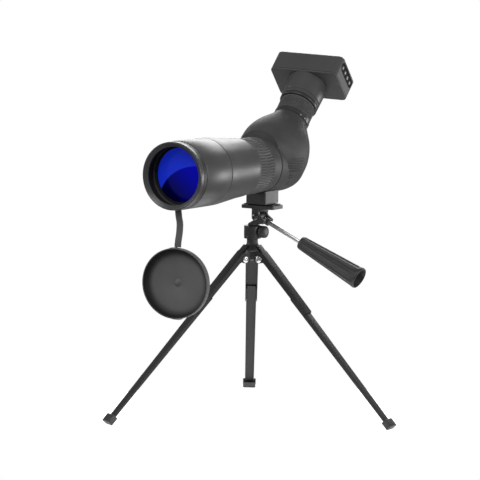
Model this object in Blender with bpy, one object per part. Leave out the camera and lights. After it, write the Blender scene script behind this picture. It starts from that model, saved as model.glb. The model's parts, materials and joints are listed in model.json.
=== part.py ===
"""Angled spotting scope with a clip-on camera, on a folding tabletop tripod.

The object stands on z = 0 with its origin under the middle of its box. The tripod's
axis, the scope's optical axis, the eyepiece axis and each leg have an empty of their
own, and every piece is modelled in the frame of the empty that it is parented to.
"""
import math

import bmesh
import bpy
from mathutils import Matrix

MM = 0.001
GAP = 0.3 * MM

# Tripod: three channel legs on a crown, hinged at PIVOT_RADIUS from the tripod's axis.
PIVOT_HEIGHT = 178.7 * MM
# The tripod's own heights are measured from a plane this far above the ground.
LIFT = 2 * MM
PIVOT_RADIUS = 12.5 * MM
SPLAY = math.radians(43.5)
LEG_NAMES = ("right", "back", "left")
LEG_WALL = 0.8 * MM
UPPER_LEG_LENGTH = 85 * MM
LOWER_LEG_TOP = 60 * MM
WEB_REACH = 8.2 * MM
EAR_HALF = 7.3 * MM
EAR_RADIUS = 3.9 * MM
BOOT_WIDTH = 15.4 * MM
BOOT_INNER = -1.3 * MM
BOOT_OUTER = 5.8 * MM
BOOT_LENGTH = 10.4 * MM
PIN_RADIUS = 1.5 * MM
PIN_HOLE = PIN_RADIUS + GAP
TONGUE_HALF = 6.2 * MM

# Leg length that puts the inner edge of each boot on the ground.
LEG_LENGTH = (PIVOT_HEIGHT + LIFT + BOOT_INNER * math.sin(SPLAY)) / math.cos(SPLAY)
FOOT_REACH = PIVOT_RADIUS + LEG_LENGTH * math.sin(SPLAY) + BOOT_OUTER * math.cos(SPLAY)

# Head: pan bearing in the collar, tilt joint beside it, platform above.
COLLAR_RADIUS = 9.8 * MM
COLLAR_LOW = 201.5 * MM
COLLAR_HIGH = 216.5 * MM
STUB_RADIUS = 4.5 * MM
KNOB_HEIGHT = 209.8 * MM
KNOB_RADIUS = 7.0 * MM
TILT_X = 9.0 * MM
TILT_Z = 227.5 * MM
LUG_RADIUS = 4.2 * MM
LUG_HALF = 7.6 * MM
CHEEK_IN = 7.9 * MM
CHEEK_OUT = 11.1 * MM
BOLT_RADIUS = 2.0 * MM
HANDLE_DROP = math.radians(25)
HANDLE_OFFSET = 0.7 * MM
ROD_RADIUS = 2.6 * MM
PLATE_LOW = 236.9 * MM
PLATE_HIGH = 241.2 * MM
PAD_HIGH = 242.4 * MM
PLATE_SIZE = (42.0 * MM, 25.6 * MM)

# Scope: optical axis level and along Y, over the middle of the platform.
SCOPE_X = 12.05 * MM
AXIS_HEIGHT = 287.7 * MM
RIM = -200 * MM
BARREL_RADIUS = 37.9 * MM
EYEPIECE_Y = 17 * MM
EYEPIECE_ANGLE = math.radians(45)

# Camera: a flat box square to the eyepiece axis.
CAMERA_NEAR = 121.9 * MM
CAMERA_SPLIT = 124.3 * MM
CAMERA_FAR = 149.8 * MM
CAMERA_SIZE = (86 * MM, 47.25 * MM)
CAMERA_TURN = math.radians(3)
CAMERA_WALL = 1.8 * MM

# Lens cap, hanging below the rim on its strap.
CAP_TURN = math.radians(7)
CAP_RADIUS = 38.9 * MM
CAP_DEPTH = 5 * MM
CAP_SET = 2.5 * MM
STRAP_X = 3.0 * MM
STRAP_Y = -189.6 * MM
STRAP_TOP = 38.0 * MM
STRAP_BOTTOM = 77.3 * MM
CAP_DROP = 117.4 * MM

# The box of the whole object is centred on the origin in X and Y.
BOOT_SIDE = BOOT_WIDTH / 2
REACH_BACK = FOOT_REACH * math.cos(math.radians(60)) + BOOT_SIDE * math.sin(math.radians(60))
REACH_SIDE = FOOT_REACH * math.sin(math.radians(60)) + BOOT_SIDE * math.cos(math.radians(60))
FRONT = STRAP_Y - CAP_SET - CAP_DEPTH * math.cos(CAP_TURN) - CAP_RADIUS * math.sin(CAP_TURN)
TRIPOD_X = (REACH_BACK - FOOT_REACH) / 2
TRIPOD_Y = -(FRONT + REACH_SIDE) / 2

FINE = 40
MEDIUM = 28
SMALL = 12


def clear_scene():
    for obj in list(bpy.data.objects):
        bpy.data.objects.remove(obj, do_unlink=True)


def material(name, colour, roughness, metallic=0.0, transmission=0.0):
    mat = bpy.data.materials.get(name)
    if mat is None:
        mat = bpy.data.materials.new(name)
        mat.use_nodes = True
        shader = mat.node_tree.nodes["Principled BSDF"]
        shader.inputs["Base Color"].default_value = (*colour, 1.0)
        shader.inputs["Roughness"].default_value = roughness
        shader.inputs["Metallic"].default_value = metallic
        shader.inputs["Transmission Weight"].default_value = transmission
        mat.diffuse_color = (*colour, 1.0)
    return mat


def black_plastic():
    return material("black_plastic", (0.025, 0.025, 0.027), 0.5)


def satin_barrel():
    return material("satin_barrel", (0.07, 0.07, 0.075), 0.38)


def soft_armour():
    return material("soft_armour", (0.04, 0.04, 0.042), 0.75)


def rubber():
    return material("rubber", (0.03, 0.03, 0.03), 0.8)


def leg_paint():
    return material("leg_paint", (0.02, 0.02, 0.022), 0.42)


def steel():
    return material("bright_steel", (0.62, 0.62, 0.63), 0.25, 1.0)


def anodised():
    return material("black_anodised", (0.03, 0.03, 0.032), 0.4, 0.6)


def camera_plastic():
    return material("camera_plastic", (0.06, 0.06, 0.063), 0.55)


def coated_glass():
    return material("coated_glass", (0.02, 0.03, 0.5), 0.05, 0.0, 0.3)


def clear_glass():
    return material("clear_glass", (0.85, 0.9, 0.92), 0.03, 0.0, 0.9)


def circuit_green():
    return material("circuit_green", (0.02, 0.16, 0.06), 0.5)


def cell_silver():
    return material("cell_silver", (0.5, 0.5, 0.52), 0.4, 0.3)


def button_white():
    return material("button_white", (0.6, 0.6, 0.6), 0.5)


def empty(name, parent=None, location=(0, 0, 0), rotation=(0, 0, 0)):
    obj = bpy.data.objects.new(name, None)
    obj.empty_display_size = 0.01
    obj.parent = parent
    obj.location = location
    obj.rotation_euler = rotation
    bpy.context.collection.objects.link(obj)
    return obj


def finish(bm, name, mat, parent, location=(0, 0, 0), rotation=(0, 0, 0), smooth=30):
    """Turn a bmesh into a named object in its parent's frame."""
    bmesh.ops.recalc_face_normals(bm, faces=bm.faces)
    mesh = bpy.data.meshes.new(name)
    bm.to_mesh(mesh)
    bm.free()
    mesh.shade_smooth()
    mesh.set_sharp_from_angle(angle=math.radians(smooth))
    obj = bpy.data.objects.new(name, mesh)
    bpy.context.collection.objects.link(obj)
    obj.parent = parent
    obj.location = location
    obj.rotation_euler = rotation
    if mat is not None:
        mesh.materials.append(mat)
    return obj


def cutter(bm, name, parent, location=(0, 0, 0), rotation=(0, 0, 0)):
    obj = finish(bm, name, None, parent, location, rotation)
    obj.hide_render = True
    obj.display_type = "WIRE"
    return obj


def combine(obj, other, operation):
    modifier = obj.modifiers.new(other.name, "BOOLEAN")
    modifier.operation = operation
    modifier.solver = "EXACT"
    modifier.object = other
    return obj


def cut(obj, other):
    return combine(obj, other, "DIFFERENCE")


def fuse(obj, other):
    return combine(obj, other, "UNION")


def turned(profile, segments=MEDIUM):
    """Spin (radius, height) points about Z. A profile that starts and ends on the axis is solid."""
    bm = bmesh.new()
    points = [bm.verts.new((radius, 0, height)) for radius, height in profile]
    edges = [bm.edges.new(pair) for pair in zip(points, points[1:])]
    solid = profile[0][0] == 0 and profile[-1][0] == 0
    if not solid:
        edges.append(bm.edges.new((points[-1], points[0])))
    bmesh.ops.spin(bm, geom=points + edges, cent=(0, 0, 0), axis=(0, 0, 1),
                   angle=math.tau, steps=segments, use_merge=True)
    bmesh.ops.remove_doubles(bm, verts=bm.verts, dist=0.001 * MM)
    return bm


def rod(radius, low, high, segments=SMALL):
    return turned([(0, low), (radius, low), (radius, high), (0, high)], segments)


def pipe(inner, outer, low, high, segments=MEDIUM):
    return turned([(inner, low), (outer, low), (outer, high), (inner, high)], segments)


def block(low, high, bevel=0.0, edges_along=None):
    """A box between two corners, its edges (all, or those along one axis) rounded."""
    bm = bmesh.new()
    bmesh.ops.create_cube(bm, size=1.0)
    for vert in bm.verts:
        for axis in range(3):
            vert.co[axis] = low[axis] if vert.co[axis] < 0 else high[axis]
    if bevel:
        edges = bm.edges[:]
        if edges_along is not None:
            edges = [edge for edge in edges
                     if abs((edge.verts[0].co - edge.verts[1].co)[edges_along]) > 0]
        bmesh.ops.bevel(bm, geom=edges, offset=bevel, segments=2, profile=0.5, affect="EDGES")
    return bm


def lofted(rings):
    """Skin a list of rings that have the same number of points, and cap both ends."""
    bm = bmesh.new()
    loops = [[bm.verts.new(point) for point in ring] for ring in rings]
    for first, second in zip(loops, loops[1:]):
        for index in range(len(first)):
            after = (index + 1) % len(first)
            bm.faces.new((first[index], first[after], second[after], second[index]))
    bm.faces.new(loops[0])
    bm.faces.new(loops[-1])
    return bm


def plate_xz(outline, low, high):
    """Extrude an outline in the XZ plane along Y."""
    return lofted([[(x, y, z) for x, z in outline] for y in (low, high)])


def merged(*parts):
    """Put several separate bodies in one mesh, for use as one cutter."""
    bm = bmesh.new()
    for part in parts:
        mesh = bpy.data.meshes.new("part")
        part.to_mesh(mesh)
        part.free()
        bm.from_mesh(mesh)
        bpy.data.meshes.remove(mesh)
    return bm


def arc(centre, radius, start, end, steps):
    """Points on an arc, angles in degrees, for outlines."""
    angles = [math.radians(start + (end - start) * step / steps) for step in range(steps + 1)]
    return [(centre[0] + radius * math.cos(a), centre[1] + radius * math.sin(a)) for a in angles]


def rounded_rectangle(width, depth, radius, height, steps=3):
    x = width / 2 - radius
    y = depth / 2 - radius
    corners = ((x, y, 0), (-x, y, 90), (-x, -y, 180), (x, -y, 270))
    points = []
    for cx, cy, start in corners:
        points += arc((cx, cy), radius, start, start + 90, steps)
    return [(px, py, height) for px, py in points]


def moved(bm, offset):
    bmesh.ops.translate(bm, vec=offset, verts=bm.verts)
    return bm


def turned_about(bm, axis, angle):
    bmesh.ops.rotate(bm, cent=(0, 0, 0), matrix=Matrix.Rotation(angle, 3, axis), verts=bm.verts)
    return bm


def along_x(bm):
    """Turn a piece modelled about Z so that it lies along +X."""
    return turned_about(bm, "Y", math.pi / 2)


def along_y(bm):
    """Turn a piece modelled about Z so that it lies along Y."""
    return turned_about(bm, "X", math.pi / 2)


# ---------------------------------------------------------------- tripod

def make_crown(tripod):
    """Spider with a neck on top and a tongue for each leg."""
    core = [(2.5 * MM, 190 * MM), (5.2 * MM, 190 * MM), (5.2 * MM, 187 * MM), (11.6 * MM, 187 * MM),
            (12 * MM, 189.2 * MM), (7.2 * MM, 194.4 * MM), (6.4 * MM, 196 * MM),
            (6.4 * MM, COLLAR_LOW - GAP), (2.5 * MM, COLLAR_LOW - GAP)]
    crown = finish(turned(core), "tripod_crown", black_plastic(), tripod)
    boss = 5 * MM
    tongue = [(5.6 * MM, 190 * MM), (5.6 * MM, 176 * MM)]
    tongue += arc((PIVOT_RADIUS, PIVOT_HEIGHT), boss, 240, 380, 7)
    tongue += [(11 * MM, 189.6 * MM)]
    for index, side in enumerate(LEG_NAMES):
        angle = index * math.tau / 3
        shape = plate_xz(tongue, -TONGUE_HALF, TONGUE_HALF)
        fuse(crown, cutter(turned_about(shape, "Z", angle), f"tongue_{side}", tripod))
    for index, side in enumerate(LEG_NAMES):
        angle = index * math.tau / 3
        hole = moved(along_y(rod(PIN_HOLE, -10 * MM, 10 * MM)), (PIVOT_RADIUS, 0, PIVOT_HEIGHT))
        cut(crown, cutter(turned_about(hole, "Z", angle), f"pin_bore_{side}", tripod))


def channel_ring(width, low, high, height):
    """Cross-section of a U channel, open towards -X, with its web on the +X side."""
    outer = width / 2
    inner = outer - LEG_WALL
    web = high - LEG_WALL
    return [(high, -outer, height), (high, -inner, height), (high, inner, height),
            (high, outer, height), (low, outer, height), (low, inner, height),
            (web, inner, height), (web, -inner, height), (low, -inner, height),
            (low, -outer, height)]


def skin(bm, first, second):
    """Join two loops of points that have the same number of points."""
    for index in range(len(first)):
        after = (index + 1) % len(first)
        bm.faces.new((first[index], first[after], second[after], second[index]))


def upper_leg_mesh():
    """U channel whose walls grow into ears round the pin, and whose web runs on up the crown."""
    width = 2 * EAR_HALF
    rings = [channel_ring(13.9 * MM, 2.1 * MM, 7.3 * MM, -UPPER_LEG_LENGTH),
             channel_ring(width, 2 * MM, WEB_REACH, -7 * MM),
             channel_ring(width, -2.6 * MM, WEB_REACH, -3 * MM),
             channel_ring(width, -EAR_RADIUS, WEB_REACH, 0),
             channel_ring(width, -2.9 * MM, WEB_REACH, 2.6 * MM),
             channel_ring(width, -0.4 * MM, WEB_REACH, EAR_RADIUS)]
    bm = bmesh.new()
    loops = [[bm.verts.new(point) for point in ring] for ring in rings]
    for first, second in zip(loops, loops[1:]):
        skin(bm, first, second)
    bm.faces.new(loops[0])
    end = loops[-1]
    bm.faces.new((end[2], end[3], end[4], end[5], end[6]))
    bm.faces.new((end[7], end[8], end[9], end[0], end[1]))
    root = [end[1], end[2], end[6], end[7]]
    half = 5 * MM
    web = WEB_REACH - LEG_WALL
    tip = [(WEB_REACH, -half), (WEB_REACH, half), (web, half), (web, -half)]
    tip = [bm.verts.new((x, y, 14 * MM)) for x, y in tip]
    skin(bm, root, tip)
    bm.faces.new(tip)
    return bm


def make_leg(tripod, index, side):
    """One leg: its hinge pin, two telescoping channels and a rubber boot."""
    angle = index * math.tau / 3
    place = (PIVOT_RADIUS * math.cos(angle), PIVOT_RADIUS * math.sin(angle), PIVOT_HEIGHT)
    hinge = empty(f"leg_hinge_{side}", tripod, place, (0, -SPLAY, angle))
    slide = empty(f"leg_slide_{side}", hinge)

    upper = finish(upper_leg_mesh(), f"leg_upper_{side}", leg_paint(), hinge)
    cut(upper, cutter(along_y(rod(PIN_HOLE, -10 * MM, 10 * MM)), f"ear_bore_{side}", hinge))

    head = EAR_HALF + GAP
    pin = [(0, -head - 1.4 * MM), (2.6 * MM, -head - 1.3 * MM), (4 * MM, -head - 0.4 * MM), (4 * MM, -head),
           (PIN_RADIUS, -head), (PIN_RADIUS, head), (4 * MM, head), (4 * MM, head + 0.4 * MM),
           (2.6 * MM, head + 1.3 * MM), (0, head + 1.4 * MM)]
    finish(along_y(turned(pin, SMALL)), f"leg_pin_{side}", steel(), tripod, place, (0, 0, angle))

    lower = lofted([channel_ring(10.6 * MM, 0.8 * MM, 3.1 * MM, -LEG_LENGTH + 2 * MM),
                    channel_ring(11.9 * MM, 0.4 * MM, 6.2 * MM, -LOWER_LEG_TOP)])
    finish(lower, f"leg_lower_{side}", leg_paint(), slide)

    def boot_ring(width, inner, outer, height):
        y = width / 2
        return [(outer, y, height), (inner, y, height), (inner, -y, height), (outer, -y, height)]

    mouth = -LEG_LENGTH + BOOT_LENGTH
    floor = -LEG_LENGTH + 1.6 * MM
    boot = lofted([boot_ring(BOOT_WIDTH, BOOT_INNER, BOOT_OUTER, -LEG_LENGTH),
                   boot_ring(BOOT_WIDTH, BOOT_INNER, BOOT_OUTER, mouth - 0.8 * MM),
                   boot_ring(BOOT_WIDTH - 0.5 * MM, BOOT_INNER + 0.1 * MM, BOOT_OUTER - 0.4 * MM, mouth),
                   boot_ring(11.3 * MM, 0.4 * MM, 3.6 * MM, mouth),
                   boot_ring(11.3 * MM, 0.4 * MM, 3.6 * MM, floor)])
    finish(boot, f"boot_{side}", rubber(), slide)


def make_collar(tripod):
    """Pan bearing: a collar on the neck, with a side hole for the lock screw."""
    profile = [(STUB_RADIUS + GAP, COLLAR_LOW), (COLLAR_RADIUS - 0.6 * MM, COLLAR_LOW),
               (COLLAR_RADIUS, COLLAR_LOW + 0.8 * MM), (COLLAR_RADIUS, COLLAR_HIGH - 0.6 * MM),
               (COLLAR_RADIUS - 0.6 * MM, COLLAR_HIGH), (STUB_RADIUS + GAP, COLLAR_HIGH)]
    collar = finish(turned(profile), "pan_collar", anodised(), tripod)
    hole = moved(along_x(rod(2.3 * MM, 2 * MM, 12 * MM)), (0, 0, KNOB_HEIGHT))
    cut(collar, cutter(hole, "lock_screw_bore", tripod))


def make_pan_bolt(tripod):
    """Bolt that holds the pan head down, put in from below."""
    profile = [(0, 186.4 * MM), (3.9 * MM, 186.4 * MM), (4.2 * MM, 186.8 * MM), (4.2 * MM, 189.7 * MM),
               (2.2 * MM, 189.7 * MM), (2.2 * MM, 212 * MM), (0, 212 * MM)]
    finish(turned(profile, SMALL), "pan_bolt", steel(), tripod)


def make_pan_knob(tripod):
    axis = empty("pan_knob_axis", tripod, (0, 0, KNOB_HEIGHT), (0, math.pi / 2, 0))
    tip = STUB_RADIUS + GAP
    face = COLLAR_RADIUS + 0.8 * MM
    profile = [(0, tip), (1.9 * MM, tip), (1.9 * MM, face), (6.6 * MM, face), (KNOB_RADIUS, face + 0.8 * MM),
               (KNOB_RADIUS, face + 6 * MM), (5.8 * MM, face + 8 * MM), (0, face + 8.6 * MM)]
    finish(turned(profile, 24), "pan_lock_knob", black_plastic(), axis)


# ---------------------------------------------------------------- head

def make_pan_head(pan):
    """Stub in the collar, and beside it the lug that the tilt bolt goes through."""
    low = 203.2 * MM
    base = COLLAR_HIGH + GAP
    stub = [(0, 213 * MM), (2.5 * MM, 213 * MM), (2.5 * MM, low), (STUB_RADIUS, low),
            (STUB_RADIUS, base), (5.4 * MM, base), (5.4 * MM, base + 1.8 * MM), (0, base + 1.8 * MM)]
    head = finish(turned(stub, 24), "pan_head", black_plastic(), pan)
    right = TILT_X + LUG_RADIUS
    outline = [(-1.5 * MM, base + 0.2 * MM), (5.5 * MM, base + 0.2 * MM), (right, 220.8 * MM)]
    outline += arc((TILT_X, TILT_Z), LUG_RADIUS, 0, 180, 8)
    outline += [(TILT_X - LUG_RADIUS, 223 * MM), (-1.5 * MM, 219.4 * MM)]
    fuse(head, cutter(plate_xz(outline, -LUG_HALF, LUG_HALF), "lug", pan))
    hole = moved(along_y(rod(BOLT_RADIUS + GAP, -12 * MM, 12 * MM)), (TILT_X, 0, TILT_Z))
    cut(head, cutter(hole, "lug_bore", pan))


def handle_point(distance, side):
    """A point beside the handle's axis, in XZ, from the tilt axis."""
    along = (math.cos(HANDLE_DROP), -math.sin(HANDLE_DROP))
    across = (math.sin(HANDLE_DROP), math.cos(HANDLE_DROP))
    side = side - HANDLE_OFFSET
    return (distance * along[0] + side * across[0], distance * along[1] + side * across[1])


def make_platform(tilt, grip_axis):
    """Platform plate with two cheeks round the lug and a boss for the handle."""
    middle = SCOPE_X - TILT_X
    low = PLATE_LOW - TILT_Z
    high = PLATE_HIGH - TILT_Z
    half_x = PLATE_SIZE[0] / 2
    half_y = PLATE_SIZE[1] / 2
    plate = block((middle - half_x, -half_y, low), (middle + half_x, half_y, high), 3 * MM, 2)
    platform = finish(plate, "tilt_platform", black_plastic(), tilt)

    arm = 2.6 * MM
    top = low + 1 * MM
    outline = [(4.6 * MM, top), (-4.4 * MM, top)]
    outline += arc((0, 0), 4.4 * MM, 180, 290, 8)
    outline += [handle_point(12.5 * MM, -arm), handle_point(12.5 * MM, arm), (4.6 * MM, 2 * MM)]
    fuse(platform, cutter(plate_xz(outline, -CHEEK_OUT, -CHEEK_IN), "cheek_front", tilt))
    fuse(platform, cutter(plate_xz(outline, CHEEK_IN, CHEEK_OUT), "cheek_back", tilt))

    bridge = block((-arm * 0.9, -CHEEK_IN - 1 * MM, 8.4 * MM), (arm * 0.9, CHEEK_IN + 1 * MM, 12.2 * MM))
    fuse(platform, cutter(bridge, "bridge", grip_axis))
    fuse(platform, cutter(rod(4.2 * MM, 9.6 * MM, 14.5 * MM, 24), "boss", grip_axis))
    cut(platform, cutter(rod(ROD_RADIUS + GAP, 5 * MM, 20 * MM, 20), "rod_bore", grip_axis))
    hole = along_y(rod(BOLT_RADIUS + GAP, -16 * MM, 16 * MM))
    cut(platform, cutter(hole, "cheek_bore", tilt))
    screw_hole = moved(rod(3.6 * MM, low - 4 * MM, high + 4 * MM), (middle, 0, 0))
    cut(platform, cutter(screw_hole, "screw_bore", tilt))


def make_pad(tilt):
    """Rubber pad on the platform, with the hole for the camera screw."""
    middle = SCOPE_X - TILT_X
    half_x = PLATE_SIZE[0] / 2 - 2 * MM
    half_y = PLATE_SIZE[1] / 2 - 2 * MM
    low = PLATE_HIGH - TILT_Z + GAP
    high = PAD_HIGH - TILT_Z
    pad = finish(block((middle - half_x, -half_y, low), (middle + half_x, half_y, high), 2 * MM, 2),
                 "platform_pad", rubber(), tilt)
    cut(pad, cutter(moved(rod(3.6 * MM, low - 2 * MM, high + 2 * MM), (middle, 0, 0)), "pad_bore", tilt))


def make_tilt_bolt(tilt):
    start = CHEEK_OUT + GAP
    profile = [(0, -14.5 * MM), (BOLT_RADIUS, -14.5 * MM), (BOLT_RADIUS, start), (4.3 * MM, start),
               (4.3 * MM, start + 1.2 * MM), (3 * MM, start + 2.4 * MM), (0, start + 2.6 * MM)]
    finish(along_y(turned(profile, SMALL)), "tilt_bolt", steel(), tilt)
    nut = pipe(BOLT_RADIUS + GAP, 4.4 * MM, start, start + 2.8 * MM, 6)
    finish(turned_about(nut, "X", -math.pi / 2), "tilt_nut", steel(), tilt)


def make_camera_screw(tilt):
    """Knurled thumb wheel under the plate, and its 1/4 inch shank up into the scope's foot."""
    screw = empty("camera_screw_axis", tilt, (SCOPE_X - TILT_X, 0, 0))
    low = 5.4 * MM
    high = PLATE_LOW - TILT_Z - GAP
    tip = 248.5 * MM - TILT_Z
    profile = [(0, low), (6.6 * MM, low), (7.2 * MM, low + 0.5 * MM), (7.2 * MM, high - 0.5 * MM),
               (6.6 * MM, high), (3.175 * MM, high), (3.175 * MM, tip - 0.5 * MM), (2.6 * MM, tip), (0, tip)]
    finish(turned(profile, 24), "camera_screw", steel(), screw)


def make_handle(grip_axis):
    """Steel rod from the tilt joint to a hollow, tapered hand grip."""
    finish(rod(ROD_RADIUS, 6.6 * MM, 70 * MM), "handle_rod", steel(), grip_axis)
    bore = ROD_RADIUS + GAP
    profile = [(0, 72 * MM), (bore, 72 * MM), (bore, 60.5 * MM), (7.2 * MM, 60.5 * MM), (8 * MM, 61.8 * MM),
               (12.3 * MM, 139 * MM), (12.6 * MM, 142 * MM), (12.2 * MM, 144.6 * MM), (10.6 * MM, 144.6 * MM),
               (9.8 * MM, 116 * MM), (0, 116 * MM)]
    finish(turned(profile, 24), "handle_grip", rubber(), grip_axis)


# ---------------------------------------------------------------- scope barrel

def make_foot(scope, eye):
    """Block under the housing that stands on the platform, with a 1/4 inch hole."""
    low = PAD_HIGH + GAP - AXIS_HEIGHT
    foot_x = 12.8 * MM
    foot_y = 15.7 * MM
    shape = block((-foot_x, -foot_y, low), (foot_x, foot_y, -26 * MM), 1.5 * MM, 2)
    foot = finish(shape, "mount_foot", anodised(), scope)
    cut(foot, cutter(along_y(rod(32.9 * MM, -30 * MM, 30 * MM, FINE)), "foot_saddle", scope))
    cut(foot, cutter(egg(-GAP), "foot_hollow", eye))
    cut(foot, cutter(rod(3.5 * MM, low - 2 * MM, low + 8 * MM), "foot_bore", scope))


def make_barrel(tube):
    """Fixed tube: objective seat in front, swelling, then the sleeve under the focus ring."""
    sleeve = 29.1 * MM
    profile = [(32.2 * MM, -183 * MM), (35.2 * MM, -183 * MM), (35.2 * MM, -133.2 * MM),
               (BARREL_RADIUS, -133.2 * MM), (37.6 * MM, -121 * MM), (36.1 * MM, -103 * MM),
               (34.2 * MM, -80 * MM), (33.4 * MM, -63.2 * MM), (sleeve, -63.2 * MM),
               (sleeve, -11.7 * MM), (26 * MM, -11.7 * MM), (26 * MM, -62 * MM),
               (31 * MM, -70 * MM), (31.5 * MM, -110 * MM), (29.8 * MM, -114 * MM),
               (29.8 * MM, -169.7 * MM), (32.2 * MM, -169.7 * MM)]
    finish(turned(profile, FINE), "main_barrel", satin_barrel(), tube)


def make_sunshade(shade):
    """Sliding sunshade with a groove behind its front lip."""
    profile = [(35.6 * MM, -133.6 * MM), (35.6 * MM, -184 * MM), (33.5 * MM, -184.6 * MM),
               (33.5 * MM, -192.3 * MM), (35.1 * MM, -192.3 * MM), (35.1 * MM, -186.6 * MM),
               (37.2 * MM, -186.6 * MM), (BARREL_RADIUS, -185.4 * MM), (BARREL_RADIUS, -133.6 * MM)]
    finish(turned(profile, FINE), "sunshade", satin_barrel(), shade)
    lip = [(33.5 * MM, -192.6 * MM), (33.0 * MM, -198.6 * MM), (34.4 * MM, RIM), (36.6 * MM, RIM),
           (37.5 * MM, -199 * MM), (37.5 * MM, -193.2 * MM), (37.1 * MM, -192.6 * MM)]
    finish(turned(lip, FINE), "sunshade_lip", satin_barrel(), shade)


def lens(radius, front, back, bulge_front, bulge_back, segments=MEDIUM):
    """A lens between two heights, each face domed by its bulge (positive is outwards)."""
    steps = 2
    profile = [(radius * s / steps, front - bulge_front * (1 - (s / steps) ** 2)) for s in range(steps + 1)]
    profile += [(radius * s / steps, back + bulge_back * (1 - (s / steps) ** 2))
                for s in range(steps, -1, -1)]
    return turned(profile, segments)


def make_objective(tube):
    finish(lens(31.8 * MM, -178.6 * MM, -174.4 * MM, 2.4 * MM, 1.6 * MM), "objective_front_lens",
           coated_glass(), tube)
    finish(lens(31.8 * MM, -174.1 * MM, -170 * MM, -2.2 * MM, 0.4 * MM), "objective_rear_lens",
           clear_glass(), tube)
    ring = [(29.6 * MM, -182.2 * MM), (31.8 * MM, -182.6 * MM), (31.8 * MM, -179 * MM),
            (30.3 * MM, -179 * MM)]
    finish(turned(ring, FINE), "objective_retaining_ring", anodised(), tube)


def make_focus(tube):
    """Ribbed focus ring, and the lens carriage that it drives inside the sleeve."""
    inner = 29.4 * MM
    ring = empty("focus_ring_axis", tube)
    profile = [(inner, -62.8 * MM), (32.2 * MM, -62.8 * MM), (32.6 * MM, -60 * MM), (32.0 * MM, -59 * MM),
               (32.0 * MM, -28 * MM), (31.3 * MM, -27 * MM), (31.1 * MM, -12.6 * MM), (inner, -12.2 * MM)]
    finish(turned(profile, FINE), "focus_ring", rubber(), ring)
    carriage = [(17.8 * MM, -42 * MM), (17 * MM, -52 * MM), (25.7 * MM, -52 * MM), (25.7 * MM, -36 * MM),
                (18.9 * MM, -36 * MM), (18.9 * MM, -41.4 * MM)]
    finish(turned(carriage), "focus_carriage", anodised(), tube)
    finish(lens(18.6 * MM, -41 * MM, -37.5 * MM, -0.8 * MM, -0.8 * MM, 24), "focus_lens", clear_glass(), tube)


# ---------------------------------------------------------------- lens cap

def make_cap_strap(shade):
    """Rubber ring in the sunshade's groove, strap, and the lens cap that hangs on it."""
    ring_axis = empty("strap_ring_axis", shade)
    finish(pipe(35.4 * MM, 37.2 * MM, -192.2 * MM, -187 * MM, FINE), "strap_ring", rubber(), ring_axis)

    swing = empty("strap_swing_axis", ring_axis, (STRAP_X, STRAP_TOP, STRAP_Y), (math.pi / 2, 0, 0))
    length = STRAP_BOTTOM - STRAP_TOP
    low = (-4.4 * MM, -0.8 * MM, -length + GAP)
    strap = block(low, (4.4 * MM, 0.8 * MM, -2 * GAP), 0.4 * MM, 2)
    finish(strap, "cap_strap", rubber(), swing)

    cap_axis = empty("cap_swing_axis", swing, (0, 0, -length), (0, 0, CAP_TURN))
    centre = empty("cap_centre", cap_axis, (0, -CAP_SET, STRAP_BOTTOM - CAP_DROP), (-math.pi / 2, 0, 0))
    profile = [(0, 2.9 * MM), (2.6 * MM, 2.9 * MM), (3 * MM, 4.2 * MM), (30 * MM, 4.2 * MM),
               (35.2 * MM, 2.6 * MM), (37.4 * MM, -1 * MM), (37.9 * MM, -CAP_DEPTH),
               (CAP_RADIUS, -CAP_DEPTH), (CAP_RADIUS, 2.6 * MM), (37 * MM, 5.4 * MM),
               (34 * MM, 6 * MM), (0, 6 * MM)]
    finish(turned(profile, FINE), "lens_cap", rubber(), centre)


# ---------------------------------------------------------------- prism housing

def egg(shrink, top=70 * MM, segments=MEDIUM):
    """Egg about the eyepiece axis, leaning forward and narrower across towards its bottom."""
    heights = (-31.9, -27, -19.4, -10.2, 0, 10, 20, 30, 40, 50, 58, 63.5)
    radii = (7, 19.8, 30.8, 38.8, 43.7, 43.7, 42.5, 39.5, 34.8, 28.4, 23.4, 21)
    profile = [(0, -33 * MM + shrink)]
    profile += [(radius * MM - shrink, height * MM) for radius, height in zip(radii, heights)
                if -33 * MM + 1.3 * shrink < height * MM < top]
    profile.append((0, profile[-1][1]))
    bm = turned(profile, segments)
    for vert in bm.verts:
        rise = vert.co.z / (66.5 * MM)
        vert.co.x *= 0.874 + 0.13 * max(0, rise)
        vert.co.y = 1.02 * vert.co.y - 3.56 * MM * (1 - rise)
    return bm


def make_housing(tube, eye):
    """Shell round the prism, open in front to the barrel and on top to the eyepiece."""
    housing = finish(egg(0), "prism_housing", soft_armour(), eye)
    front = block((-51 * MM, -52 * MM, -60 * MM), (53 * MM, 54 * MM, -10.9 * MM))
    cut(housing, cutter(front, "housing_front", tube))
    collar = rod(32.5 * MM, -11.4 * MM, 16 * MM, MEDIUM)
    fuse(housing, cutter(collar, "housing_collar", tube, rotation=(0, 0, 0.05)))
    cavity = cutter(egg(3 * MM, 55 * MM, 24), "housing_cavity", eye)
    front_wall = block((-54 * MM, -55 * MM, -62 * MM), (55 * MM, 56 * MM, -8.2 * MM))
    cut(cavity, cutter(front_wall, "cavity_front", tube))
    cut(housing, cavity)
    cut(housing, cutter(rod(26 * MM, -14 * MM, 14 * MM, 24), "housing_mouth", tube, rotation=(0, 0, 0.03)))
    cut(housing, cutter(rod(17 * MM, 40 * MM, 70 * MM, 24), "housing_neck", eye, rotation=(0, 0, 0.04)))


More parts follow.
